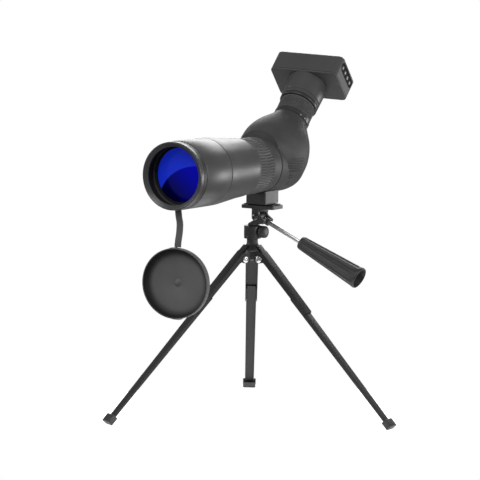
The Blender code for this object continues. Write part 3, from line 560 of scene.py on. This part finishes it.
def screw_head(low):
    """Domed head with a six-sided socket, from height low outwards."""
    def socket(r, z, a):
        if 0.9 < r < 1.7:
            return (r * (1 - 0.09 * math.cos(6 * a)), z)
        return (r, z)
    outline = [(0, low + 0.55), (1.35, low + 0.6), (1.55, low + 1.45), (2.4, low + 1.28), (3.4, low + 0.8),
               (4, low + 0.25), (3.95, low), (0, low)]
    return lathe(outline, 48, 0.22, socket)


def build_tripod():
    core = [(2.5, 190), (5.2, 190), (5.2, 187), (11.4, 187), (12, 189.2), (7.2, 194.4), (6.4, 196), (6.4, 201.2),
            (2.5, 201.2)]
    crown = lathe(core, 96, 0.7)
    piece("tripod_crown", crown, TRIPOD, "tripod_base", [PLASTIC], ["tripod_crown"])
    tongue = [(5.6, 190), (5.6, 176)] + arc(12.5, PIN_HEIGHT, 5, 240, 380, 14) + [(11, 189.6)]
    for number, side in enumerate(LEGS):
        turn = TRIPOD @ spin(120 * number, "Z")
        piece(f"crown_tongue_{side}", slab(tongue, -6.2, 6.2, 0.5), turn, "tripod_base", [PLASTIC])
        place = Matrix.Translation(pin(f"leg_fold_{side}")) @ spin(120 * number, "Z") @ spin(-90, "X")
        bolt = screw_head(7.6)
        bolt.add(screw_head(7.6), spin(180, "X"))
        bolt.add(cylinder(1.5, -7.62, 7.62, 32, 0.1))
        piece(f"leg_screw_{side}", bolt, place, "tripod_base", [STEEL], [f"leg_pin_{side}"])
        leg = LEGS[side]
        piece(f"leg_upper_channel_{side}", upper_leg(), leg, f"leg_{side}", [PAINT], [f"leg_upper_{side}"],
              40)
        piece(f"leg_lower_channel_{side}", lower_leg(), leg, f"foot_{side}", [PAINT], [f"leg_lower_{side}"],
              40)
        piece(f"leg_boot_{side}", boot(), leg, f"foot_{side}", [RUBBER], [f"boot_{side}"], 40)

    collar = [(4.8, 201.5), (9.4, 201.5), (9.8, 202.1), (9.8, 203.6), (9.5, 203.8), (9.5, 204.3), (9.8, 204.5),
              (9.8, 215.7), (9.2, 216.5), (4.8, 216.5)]
    piece("pan_bearing_collar", lathe(collar, 96, 0.45), TRIPOD, "tripod_base", [ANODISED], ["pan_collar"])

    def scallop(r, z, a):
        if r > 5.5 and z > 11:
            return (r - 0.42 * (0.5 - 0.5 * math.cos(14 * a)) ** 2, z)
        return (r, z)
    knob = [(0, 5.2), (1.9, 5.2), (1.9, 10.8), (6.5, 10.8), (7.0, 11.6), (7.0, 16.6), (6.4, 18.0), (4.4, 18.9),
            (3.6, 18.9), (3.2, 18.5), (0, 18.5)]
    piece("pan_knob", lathe(knob, 112, 0.55, scallop), TRIPOD @ shift(0, 0, KNOB_HEIGHT) @ spin(90, "Y"),
          "pan_knob", [PLASTIC], ["pan_lock_knob"])


def build_head():
    stub = [(0, 213), (2.5, 213), (2.5, 203.2), (4.5, 203.2), (4.5, 216.8), (5.4, 216.8), (5.4, 218.6), (0, 218.6)]
    piece("pan_head_stub", lathe(stub, 64, 0.25), TRIPOD, "pan_head", [PLASTIC], ["pan_head"])
    lug = [(-1.5, 217), (5.5, 217), (13.2, 220.8)] + arc(9, 227.5, 4.2, 0, 180, 18) + [(4.8, 223), (-1.5, 219.4)]
    piece("pan_head_lug", slab(lug, -7.6, 7.6, 0.5, 0.8), TRIPOD, "pan_head", [PLASTIC])

    middle = 3.05
    screw_hole = cylinder(3.6, 5, 20).turn(Matrix.Translation((middle, 0, 0)))
    plate = rounded_box((middle - 21, -12.8, 9.4), (middle + 21, 12.8, 13.7), 3, 0.55)
    settle(carve("platform_plate", plate, [("DIFFERENCE", screw_hole)], [PLASTIC]), TILT, "scope",
           ["tilt_platform"])

    def beside(distance, side):
        """A point in XZ at a distance along the handle's axis and to one side of it."""
        side = side - HANDLE_OFFSET
        return (distance * math.cos(DROP) + side * math.sin(DROP),
                -distance * math.sin(DROP) + side * math.cos(DROP))
    cheek = [(4.6, 10.2), (-4.4, 10.2)] + arc(0, 0, 4.4, 180, 290, 16)
    cheek += [beside(12.5, -2.6), beside(12.5, 2.6), (4.6, 2)]
    piece("tilt_cheek_front", slab(cheek, -11.1, -7.9, 0.4, 0.8), TILT, "scope", [PLASTIC])
    piece("tilt_cheek_rear", slab(cheek, 7.9, 11.1, 0.4, 0.8), TILT, "scope", [PLASTIC])
    bridge = rounded_box((-2.34, -8.9, 8.4), (2.34, 8.9, 12.2), 0.6, 0.4)
    piece("tilt_bridge", bridge, GRIP, "scope", [PLASTIC])
    boss = [(2.9, 9.6), (4.2, 9.6), (4.2, 10.9), (3.75, 11.2), (4.2, 11.5), (4.2, 12.5), (3.75, 12.8), (4.2, 13.1),
            (4.2, 14.1), (3.9, 14.5), (2.9, 14.5)]
    piece("handle_boss", lathe(boss, 64, 0.2), GRIP, "scope", [PLASTIC])

    pad = rounded_box((middle - 19, -10.8, 14.0), (middle + 19, 10.8, 14.9), 2, 0.25)
    cuts = []
    for k in range(11):
        y = -9 + 1.8 * k
        groove = rounded_box((middle - 17.6, y - 0.35, 14.65), (middle + 17.6, y + 0.35, 15.3), 0.3, 0.1)
        cuts.append(("DIFFERENCE", groove))
    cuts.append(("DIFFERENCE", screw_hole))
    settle(carve("platform_pad_ribbed", pad, cuts, [RUBBER]), TILT, "scope", ["platform_pad"])

    piece("tilt_bolt_shank", cylinder(2, -14.5, 11.5, 32, 0.2), TILT @ spin(90, "X"), "scope", [DIM_STEEL])
    piece("tilt_bolt_head", screw_head(11.4), TILT @ spin(90, "X"), "scope", [DIM_STEEL], ["tilt_bolt"])
    rings = []
    for inset, y in edge_steps(0.5, 11.4, 3) + top_steps(0.5, 14.2, 3):
        r = 4.4 - inset
        rings.append([(r * math.cos(TAU * k / 6), r * math.sin(TAU * k / 6), y) for k in range(6)])
    nut = carve("tilt_hex_nut", loft(rings), [("DIFFERENCE", cylinder(2.3, 8, 18, 32))], [DIM_STEEL], 25)
    settle(nut, TILT @ spin(-90, "X"), "scope", ["tilt_nut"])

    def knurl(r, z, a):
        if r > 7:
            return (r - 0.3 * abs(math.sin(20 * a)), z)
        return (r, z)
    wheel = [(0, 5.4), (6.5, 5.4), (7.2, 6.0), (7.2, 8.5), (6.5, 9.1), (3.175, 9.1), (3.175, 20.4),
             (2.6, 21), (0, 21)]
    piece("camera_screw_wheel", lathe(wheel, 160, 0.25, knurl), TILT @ shift(middle, 0, 0), "camera_screw",
          [DIM_STEEL], ["camera_screw"])

    rod = [(0, 6.6), (2.3, 6.6), (2.6, 7.0), (2.6, 69.6), (2.3, 70), (0, 70)]
    piece("handle_rod_bright", lathe(rod, 64, 0.2), GRIP, "handle", [STEEL], ["handle_rod"])

    def flutes(r, z, a):
        if r > 6.8 and 62 < z < 143:
            ends = min(1, max(0, (z - 63) / 2.2)) * min(1, max(0, (142 - z) / 3))
            dip = (0.5 - 0.5 * math.cos(12 * a)) ** 0.6
            return (r - 0.75 * ends * dip, z)
        return (r, z)
    body = [(0, 72), (2.9, 72), (2.9, 60.5), (6.6, 60.5), (7.2, 60.7), (7.6, 61.8), (7.7, 62.6),
            (8.1, 63.2), (8.15, 64)]
    body += [(8.15 + (12.3 - 8.15) * t / 12, 64 + 75 * t / 12) for t in range(1, 13)]
    body += [(12.6, 141.4), (12.6, 142.6), (12.2, 144.2), (11.6, 144.6), (10.9, 144.6), (10.6, 144.2),
             (9.8, 116), (0, 116)]
    piece("handle_grip_fluted", lathe(body, 144, 0.0, flutes), GRIP, "handle", [RUBBER], ["handle_grip"],
          45)


# ------------------------------------------------------------------ scope

def ribs(low, high, count, depth, wave, turns, fade=1.2, rows=0):
    """Axial ribs between two heights, wandering a little as they go."""
    def shape(r, z, a):
        if low < z < high:
            ends = min(1, (z - low) / fade, (high - z) / fade)
            t = (z - low) / (high - low)
            phase = count * a + wave * math.sin(TAU * turns * t + 0.9 * math.sin(3 * a))
            height = 0.5 + 0.5 * math.cos(phase)
            if rows:
                height *= 0.55 + 0.45 * abs(math.cos(math.pi * rows * t + 0.5 * math.sin(5 * a)))
            return (r - depth * ends * (1 - height ** 0.8), z)
        return (r, z)
    return shape


def build_barrel():
    taper = curve([(37.9, -132.7), (37.6, -121), (36.1, -103), (34.2, -80), (33.4, -64)], 8)
    outline = [(32.2, -183), (35.2, -183), (35.2, -133.2), (37.6, -133.2), (37.75, -133.1)] + taper
    outline += [(33.3, -63.4), (33.0, -63.2), (29.1, -63.2), (29.1, -11.7), (26, -11.7), (26, -62), (31, -70),
                (31.5, -110), (29.8, -114), (29.8, -169.7), (32.2, -169.7)]
    piece("barrel_tube", lathe(outline, 160), TUBE, "scope", [SATIN], ["main_barrel"], 30)

    inner = [(35.6, -133.6), (35.6, -184), (33.5, -184.6)]
    for k in range(8):
        z = -185.2 - 0.85 * k
        inner += [(33.5, z), (33.72, z - 0.3), (33.5, z - 0.6)]
    outline = inner + [(33.5, -192.3), (34.9, -192.3), (35.1, -192.1), (35.1, -187.2), (35.3, -186.6),
                       (37.0, -186.6), (37.5, -186.25), (37.9, -185.4), (37.9, -134.2), (37.8, -133.8),
                       (37.5, -133.6)]
    shade = lathe(outline, 160)
    shade.m = [int(sum(math.hypot(*shade.v[i][:2]) for i in f) / len(f) < 35.0) for f in shade.f]
    piece("sunshade_tube", shade, TUBE, "sunshade", [SATIN, SATIN_IN], ["sunshade"], 30)

    threads = []
    for k in range(3):
        z = -193.4 - 0.9 * k
        threads += [(32.4, z), (32.15, z - 0.45)]
    outline = [(33.5, -192.6), (32.6, -192.8)] + threads
    outline += [(31.9, -196.1), (32.0, -196.5), (34.0, -198.3), (35.6, -199.6), (36.2, -199.93), (36.8, -199.85),
                (37.2, -199.4), (37.45, -198.6), (37.5, -197.6), (37.5, -193.6), (37.3, -192.8), (37.0, -192.6)]
    rim = lathe(outline, 160)
    rim.m = [int(all(math.hypot(*rim.v[i][:2]) < 33.6 and rim.v[i][2] > -196.2 for i in f)) for f in rim.f]
    piece("sunshade_front_lip", rim, TUBE, "sunshade", [LIP, SATIN_IN], ["sunshade_lip"], 30)

    band = [(35.4, -192.2), (37.0, -192.2), (37.2, -191.9), (37.2, -187.3), (37.0, -187), (35.4, -187)]
    piece("cap_strap_ring", lathe(band, 128, 0.3), TUBE, "strap_ring", [RUBBER], ["strap_ring"])

    def notch(r, z, a):
        if z < -180.5 and r > 29 and abs(math.sin(a)) < 0.05:
            return (r, z + 0.9)
        return (r, z)
    ring = [(29.7, -182.1), (31.6, -182.6), (31.8, -182.4), (31.8, -179), (30.3, -179)]
    piece("lens_retaining_ring", lathe(ring, 160, 0.15, notch), TUBE, "scope", [SATIN_IN],
          ["objective_retaining_ring"])

    steps = 14
    front = [(31.75 * k / steps, -178.6 - 2.3 * (1 - (k / steps) ** 2)) for k in range(steps + 1)]
    back = [(31.75 * k / steps, -174.5 + 1.5 * (1 - (k / steps) ** 2)) for k in range(steps, -1, -1)]
    piece("front_lens_element", lathe(front + back, 128), TUBE, "scope", [LENS], ["objective_front_lens"],
          60)


def build_focus():
    grip = [(29.4, -62.6), (31.9, -62.8), (32.3, -62.6), (32.5, -61.8), (32.55, -60.6), (32.4, -59.7),
            (32.1, -59.2)]
    grip += [(32.1, -59.0 + 30.6 * k / 44) for k in range(45)]
    grip += [(32.0, -28.0), (31.6, -27.5), (31.35, -27.0), (31.4, -20), (31.9, -12.9), (31.8, -12.2), (31.4, -11.8),
             (29.4, -11.75)]
    shape = ribs(-58.9, -28.5, 58, 0.95, 0.85, 1.6, 1.0, 0)
    piece("focus_ring_ribbed", lathe(grip, 58 * 8, 0.0, shape), TUBE, "focus_ring", [RIBBED], ["focus_ring"],
          60)


def build_housing():
    # an egg about the eyepiece's axis, narrower from side to side, that leans back towards its bottom
    length, narrow, widen, deep, lean_back = 66.5, 0.874, 0.13, 1.02, 3.56
    heights = [(0.0, -33), (3.4, -32.7), (7, -31.9), (19.8, -27), (30.8, -19.4), (38.8, -10.2), (43.7, 0),
               (43.7, 10), (42.5, 20), (39.5, 30), (34.8, 40), (28.4, 50), (23.4, 58), (21.0, 62.6)]
    outline = curve(heights, 5)
    outline += [(20.8, 63.2), (20.2, 63.5), (0, 63.5)]
    outline[0] = (0, -33)

    def lean(s):
        s.v = [(x * (narrow + widen * max(0, z / length)), deep * y - lean_back * (1 - z / length), z)
               for x, y, z in s.v]
        return s
    egg = lean(lathe(outline, 144))
    # the tube's frame seen from the eyepiece's frame, in millimetres
    tube_to_eye = spin(EYE_RISE, "X") @ Matrix.Translation((0, -EYE_BACK, 0)) @ spin(-90, "X")
    front = rounded_box((-60, -60, -70), (60, 60, -10.9), 2, 0.5).turn(tube_to_eye)
    collar = lathe([(0, -11.4), (32.1, -11.4), (32.5, -11.0), (32.5, 16), (0, 16)], 144).turn(tube_to_eye)
    mouth = cylinder(26, -14, 14, 96).turn(tube_to_eye)
    hollow = lean(lathe([(0, -29.5), (16, -24.5), (27, -17), (35.5, -8), (40, 0), (40.2, 10), (39, 20), (36, 30),
                         (31, 40), (25, 50), (0, 52)], 64))
    hollow = trimmed(hollow, rounded_box((-62, -62, -72), (62, 62, -8.2), 2, 0.5).turn(tube_to_eye))
    neck = cylinder(17, 40, 70, 96)
    shell = carve("prism_housing_shell", egg, [("DIFFERENCE", front), ("UNION", collar), ("DIFFERENCE", hollow),
                                               ("DIFFERENCE", mouth), ("DIFFERENCE", neck)], [ARMOUR], 38)
    settle(shell, EYE, "scope", ["prism_housing"])

    def side(back, height):
        """How far the shell reaches out at a place given by its distance back and its height."""
        y = ((back - EYE_BACK) - height) / math.sqrt(2)
        z = ((back - EYE_BACK) + height) / math.sqrt(2)
        low = max(k for k in range(len(outline) - 1) if outline[k][1] <= z)
        (r0, z0), (r1, z1) = outline[low], outline[low + 1]
        r = r0 + (r1 - r0) * (z - z0) / (z1 - z0)
        sine = (y + lean_back * (1 - z / length)) / (deep * r)
        return r * math.sqrt(max(0, 1 - sine * sine)) * (narrow + widen * max(0, z / length))

    # grip ridges on both sides: height, and where each starts and ends along the barrel
    ridges = Shape()
    count = 24
    # the ridge's section: rise along the housing's side, and lift off it
    section = ((-0.85, -0.6), (-0.85, -0.1), (-0.55, 0.6), (0, 0.85), (0.55, 0.6), (0.85, -0.1), (0.85, -0.6))
    for height, start, end in ((7.2, 2, 30), (4.2, -5, 32), (1.2, -8, 33), (-1.8, -8, 33), (-4.8, -7, 33),
                               (-7.8, -5, 31), (-13.0, 0, 14), (-15.8, 2, 16), (-21.0, 6, 19), (-23.6, 8, 20)):
        for flip in (1, -1):
            rings = []
            for k in range(count + 1):
                back = start + (end - start) * k / count
                ease = min(1, 9 * k / count, 9 * (count - k) / count)
                ring = []
                for rise, lift in section:
                    out = side(back, height + rise) + (lift if lift < 0 else lift * ease) - 0.25 * (1 - ease)
                    ring.append((flip * out, back, height + rise))
                rings.append(ring)
            ridges.add(loft(rings))
    piece("housing_grip_ridges", ridges, Matrix.Translation(BARREL), "scope", [ARMOUR],
          angle=50)


def build_eyepiece():
    tube = [(15.5, 57), (16.7, 57), (16.7, 63.8), (20.9, 63.8), (21.25, 64.2), (21.4, 69.6), (21.1, 70), (18.4, 70),
            (18.4, 104), (16.4, 105), (15.5, 104)]
    for number, angle in enumerate((-33, -14)):
        dot = lathe([(0, 20.8), (0.75, 20.8), (0.75, 21.38), (0.5, 21.5), (0, 21.52)], 24)
        place = EYE @ spin(angle, "Z") @ shift(0, 0, 65.2) @ spin(90, "Y")
        piece(f"index_dot_{number + 1}", dot, place, "scope", [PRINT])
    piece("eyepiece_body", lathe(tube, 128), EYE, "scope", [ANODISED], ["eyepiece_tube"], 30)
    ring = [(18.8, 70.3), (20.3, 70.3), (20.9, 70.6), (21, 71.3)]
    ring += [(21, 71.6 + 15.6 * k / 26) for k in range(27)]
    ring += [(21, 87.6), (20.8, 88.1), (20.3, 88.3), (18.8, 88.3)]
    shape = ribs(71.4, 87.4, 64, 0.8, 1.1, 1.6, 0.7, 6)
    piece("zoom_ring_knurled", lathe(ring, 560, 0.0, shape), EYE, "zoom_ring", [RIBBED], ["zoom_ring"],
          60)
    top = [(18.8, 88.6), (21.9, 88.6), (22.5, 89.0), (22.7, 89.6), (22.7, 92.2), (22.4, 92.6), (18.8, 92.6)]
    piece("eyepiece_collar", lathe(top, 128, 0.2), EYE, "scope", [ANODISED], ["eyepiece_top_ring"])
    sleeve = [(18.7, 92.9), (22.5, 92.9), (22.8, 93.3), (22.8, 96.3), (22.6, 96.7), (22.2, 96.9), (22.2, 97.3),
              (22.6, 97.45), (22.85, 97.8)]
    sleeve += [(22.85 + 0.55 * k / 6, 97.8 + 23.0 * k / 6) for k in range(1, 7)]
    sleeve += [(23.4, 121.6), (9.6, 121.6), (9.6, 118), (18.7, 117)]
    piece("adapter_sleeve", lathe(sleeve, 144), EYE, "adapter", [SATIN], ["camera_adapter"], 30)


def build_camera():
    def box(width, depth, z, corner=5.5):
        return rectangle(width, depth, corner, z, steps=8)
    w, d = 86, 47.25
    rings = [box(w - 2 * i, d - 2 * i, z) for i, z in edge_steps(1.2, 121.9, 5)]
    rings += [box(w, d, 123.7), box(w - 0.25, d - 0.25, 123.9), box(w - 0.7, d - 0.7, 124.0)]
    near = carve("camera_front_cover", loft(rings), [("DIFFERENCE", cylinder(9, 115, 130, 64))], [SHELL], 30)
    settle(near, CAMERA, "camera", ["camera_front_shell"])
    rings = [box(w - 3.6, d - 3.6, 148, 3), box(w - 3.6, d - 3.6, 124.3, 3), box(w - 0.7, d - 0.7, 124.3),
             box(w - 0.2, d - 0.2, 124.4), box(w, d, 124.65)]
    rings += [box(w - 2 * i, d - 2 * i, z) for i, z in top_steps(2.0, 149.8, 6)]
    window = rounded_box((-5.9, -18.8, 39), (5.9, 18.8, 50), 5.6, 0.3)
    window = window.turn(Matrix.Translation((0, 0, 140.6)) @ spin(90, "Y"))
    far = carve("camera_back_cover", loft(rings), [("DIFFERENCE", window)], [SHELL], 30)
    # turned in the mesh, so that the piece's own box lies along the world's axes
    far.data.transform(CAMERA.to_3x3().to_4x4())
    settle(far, Matrix.Translation(CAMERA.translation), "camera", ["camera_back_shell"])
    plug = lathe([(0, 23.3), (1.1, 23.3), (1.1, 23.62), (0.9, 23.66), (0.3, 23.5), (0, 23.48)], 32)
    piece("camera_face_plug", plug, CAMERA @ shift(21.5, 0, 136) @ spin(90, "X"), "camera", [PLASTIC])
    turn = CAMERA @ shift(0, 0, 140.6) @ spin(90, "Y")
    face = rounded_box((-5.6, -18.5, 40.8), (5.6, 18.5, 42.2), 5.3, 0.3)
    rows = [(k - 1.5) * BUTTON_PITCH for k in range(4)]
    holes = [("DIFFERENCE", cylinder(3.0, 38, 45).turn(Matrix.Translation((0, y, 0)))) for y in rows]
    settle(carve("camera_button_panel", face, holes, [SATIN_IN], 30), turn, "camera", ["button_panel"])
    # each button's mark is one or two bars, given by their middle, width and height
    marks = [[(0.0, 0.0, 2.6, 0.7)], [(0.0, 0.0, 2.6, 0.7), (0.0, 0.0, 0.7, 2.6)],
             [(-0.8, 0.0, 0.6, 2.2), (0.8, 0.0, 0.6, 2.2)], [(0.0, 0.0, 1.5, 1.5)]]
    for k, y in enumerate(rows):
        cap = lathe([(0, 39.8), (2.6, 39.8), (2.7, 40), (2.7, 42.35), (2.45, 42.75),
                     (1.6, 42.86), (0, 42.88)], 48, 0.1)
        for mx, my, mw, mh in marks[k]:
            bar = rounded_box((mx - mw / 2, my - mh / 2, 42.6), (mx + mw / 2, my + mh / 2, 42.9), 0.2, 0.05)
            cap.add(bar, mat=1)
        piece(f"camera_button_cap_{k + 1}", cap, turn @ shift(0, y, 0), f"button_{k + 1}", [BUTTON, PRINT],
              [f"camera_button_{k + 1}"])


def build_cap():
    def tab(r, z, a):
        # a pull tab on the lower edge, at the back of the cap
        da = abs(math.atan2(math.sin(a - TAU / 4), math.cos(a - TAU / 4)))
        if r > 38.4 and z > 1:
            return (r + 1.7 * math.exp(-(da / 0.19) ** 6), z)
        return (r, z)
    outline = [(0, 2.5), (1.4, 2.6), (2.1, 3.0), (2.6, 3.7), (3.3, 4.1), (4.6, 4.15), (5.0, 4.35), (5.4, 4.15),
               (30.0, 4.2), (33.0, 3.9), (35.2, 2.8), (36.5, 1.2), (37.3, -1.0), (37.6, -3.0), (37.7, -4.5),
               (37.9, -4.9), (38.3, -5.0), (38.75, -4.8), (38.9, -4.4), (38.9, 2.2), (38.5, 3.6), (37.3, 5.2),
               (35.8, 5.8), (34, 6), (0, 6)]
    cap = lathe(outline, 160, 0.0, tab)
    # the faces inside the cap take the inside material, with its painted shade on the wall
    cap.m = [int(all(cap.v[i][2] < 4.6 and math.hypot(*cap.v[i][:2]) < 37.8 for i in f)) for f in cap.f]
    piece("lens_cap_moulded", cap, CAP, "cap", [CAPPED, CAP_INSIDE_SHADED], ["lens_cap"], 40)
    lug = rounded_box((-4.1, 38.0, -1.2), (4.1, 39.2, 3.4), 0.5, 0.15)
    piece("cap_lug", lug, CAP @ spin(180 - CAP_TWIST, "Z"), "cap", [RUBBER], angle=40)
    rings = []
    path = curve([(0, 0, 0), (0.5, 0.6, -7), (1.2, 1.7, -14), (1.0, 1.5, -24), (0.3, 0.4, -33), (0, 0, -39.3)], 5)
    ends = [(0.25, 0.76), (0.9, 0.66), (1.3, 0.46)]
    path = [(0, 0, rise, thick) for thick, rise in ends] + [(x, y, z, 1.6) for x, y, z in path]
    path += [(0, 0, -39.3 - rise, thick) for thick, rise in reversed(ends)]
    for x, y, z, thick in path:
        section = rectangle(8.2, thick, 0.4 * thick, 0, steps=3)
        rings.append([(px + x, py + y, z) for px, py, _ in section])
    piece("cap_strap_band", loft(rings), STRAP, "strap", [CAPPED], ["cap_strap"], 50)


build_tripod()
build_head()
build_barrel()
build_focus()
build_housing()
build_eyepiece()
build_camera()
build_cap()

# CAD nodes that stay as they are, with a finished surface and softened edges
for node, mat, width in (
        ("pan_bolt", STEEL, 0.2), ("mount_foot", PLASTIC, 0.5), ("objective_rear_lens", GLASS, 0),
        ("roof_prism", GLASS, 0.3), ("prism_bracket", ANODISED, 0.2), ("eye_lens", GLASS, 0),
        ("focus_carriage", ANODISED, 0), ("focus_lens", GLASS, 0), ("zoom_cell", ANODISED, 0),
        ("zoom_lens", GLASS, 0), ("camera_lens", ANODISED, 0), ("image_sensor", CELL, 0.2),
        ("circuit_board", BOARD, 0.2), ("battery", CELL, 0.5)):
    obj = frame["nodes"][node]
    obj.data.materials.clear()
    obj.data.materials.append(mat)
    if width:
        bevel = obj.modifiers.new("edges", "BEVEL")
        bevel.width = width * MM
        bevel.segments = 3
        bevel.limit_method = "ANGLE"
        bevel.angle_limit = math.radians(40)
        bevel.harden_normals = False


# ------------------------------------------------------------------ floor, light, camera

def softbox(name, location, target, width, power, height=None):
    data = bpy.data.lights.new(name, "AREA")
    data.shape = "RECTANGLE"
    data.size = width
    data.size_y = height or width
    data.energy = power
    obj = linked(name, data)
    obj.location = location
    obj.rotation_euler = (Vector(target) - Vector(location)).to_track_quat("-Z", "Y").to_euler()


FLOOR_RADIUS = 0.25
FLOOR_GAP = 0.0005
floor_mesh = bpy.data.meshes.new("floor")
rim = [(FLOOR_RADIUS * math.cos(TAU * k / 96), FLOOR_RADIUS * math.sin(TAU * k / 96), 0) for k in range(96)]
floor_mesh.from_pydata(rim, [], [tuple(range(96))])
floor_mat, tree, shader = new_material("floor")
tree.fill(shader, {"Base Color": (0.8, 0.8, 0.8, 1), "Roughness": 0.9, "Specular IOR Level": 0.1,
                   "Emission Color": (1, 1, 1, 1), "Emission Strength": 0.9})
floor_mesh.materials.append(floor_mat)
floor = linked("floor", floor_mesh)
floor.location = (0, 0, CAD_BOX[0].z - FLOOR_GAP)

# the camera sees a white studio, and the object is lit by a dimmer one
world = bpy.data.worlds.new("studio")
bpy.context.scene.world = world
world.use_nodes = True
tree = Nodes(world.node_tree)
back = world.node_tree.nodes["Background"]
tree.fill(back, {"Color": (1, 1, 1, 1), "Strength": 0.2})
seen = tree.add("Background", {"Color": (1, 1, 1, 1), "Strength": 1.0}, "Background")
straight = tree.add("LightPath", {}, "Is Camera Ray")
studio = tree.add("MixShader", {"Fac": straight, 1: back.outputs["Background"], 2: seen}, "Shader")
tree.fill(world.node_tree.nodes["World Output"], {"Surface": studio})

# where each lamp stands, what it is aimed at, its width, power and height
CENTRE = (0, 0, 0.22)
softbox("back_top_box", (-0.5, 1.3, 1.0), (0, 0, 0.28), 1.3, 15.5, 0.8)
softbox("back_right_box", (0.95, 1.45, 0.1), (0, 0, 0.26), 0.5, 6.0, 0.36)
softbox("front_left_box", (-1.7, -0.95, 0.9), CENTRE, 0.7, 10)
softbox("front_top_box", (0.1, -1.5, 1.6), CENTRE, 1.0, 16)
softbox("right_box", (1.5, -0.1, 0.5), CENTRE, 0.8, 10.5)

# the view: its angles, its distance in metres, and the point it looks at, across and up from the pan axis
AZIMUTH, ELEVATION, ROLL = (math.radians(a) for a in (30.03, 6.5, 1.0))
DISTANCE = 3.43987
TARGET_RIGHT = -0.01423
TARGET_HEIGHT = 0.19915
out = Vector((math.sin(AZIMUTH) * math.cos(ELEVATION), -math.cos(AZIMUTH) * math.cos(ELEVATION),
              math.sin(ELEVATION)))
right = Vector((math.cos(AZIMUTH), math.sin(AZIMUTH), 0))
up = out.cross(right)
eye = right * TARGET_RIGHT + Vector((AXIS.x, AXIS.y, TARGET_HEIGHT + LIFT)) + out * DISTANCE
columns = (right * math.cos(ROLL) + up * math.sin(ROLL), up * math.cos(ROLL) - right * math.sin(ROLL), out, eye)
camera_data = bpy.data.cameras.new("view")
camera_data.lens = 225
camera_data.sensor_width = 36
camera_data.clip_start = 0.05
camera_data.clip_end = 60
camera = linked("view", camera_data)
camera.matrix_world = Matrix((*([c[row] for c in columns] for row in range(3)), (0, 0, 0, 1)))
bpy.context.scene.camera = camera
bpy.context.scene.view_settings.view_transform = "Standard"
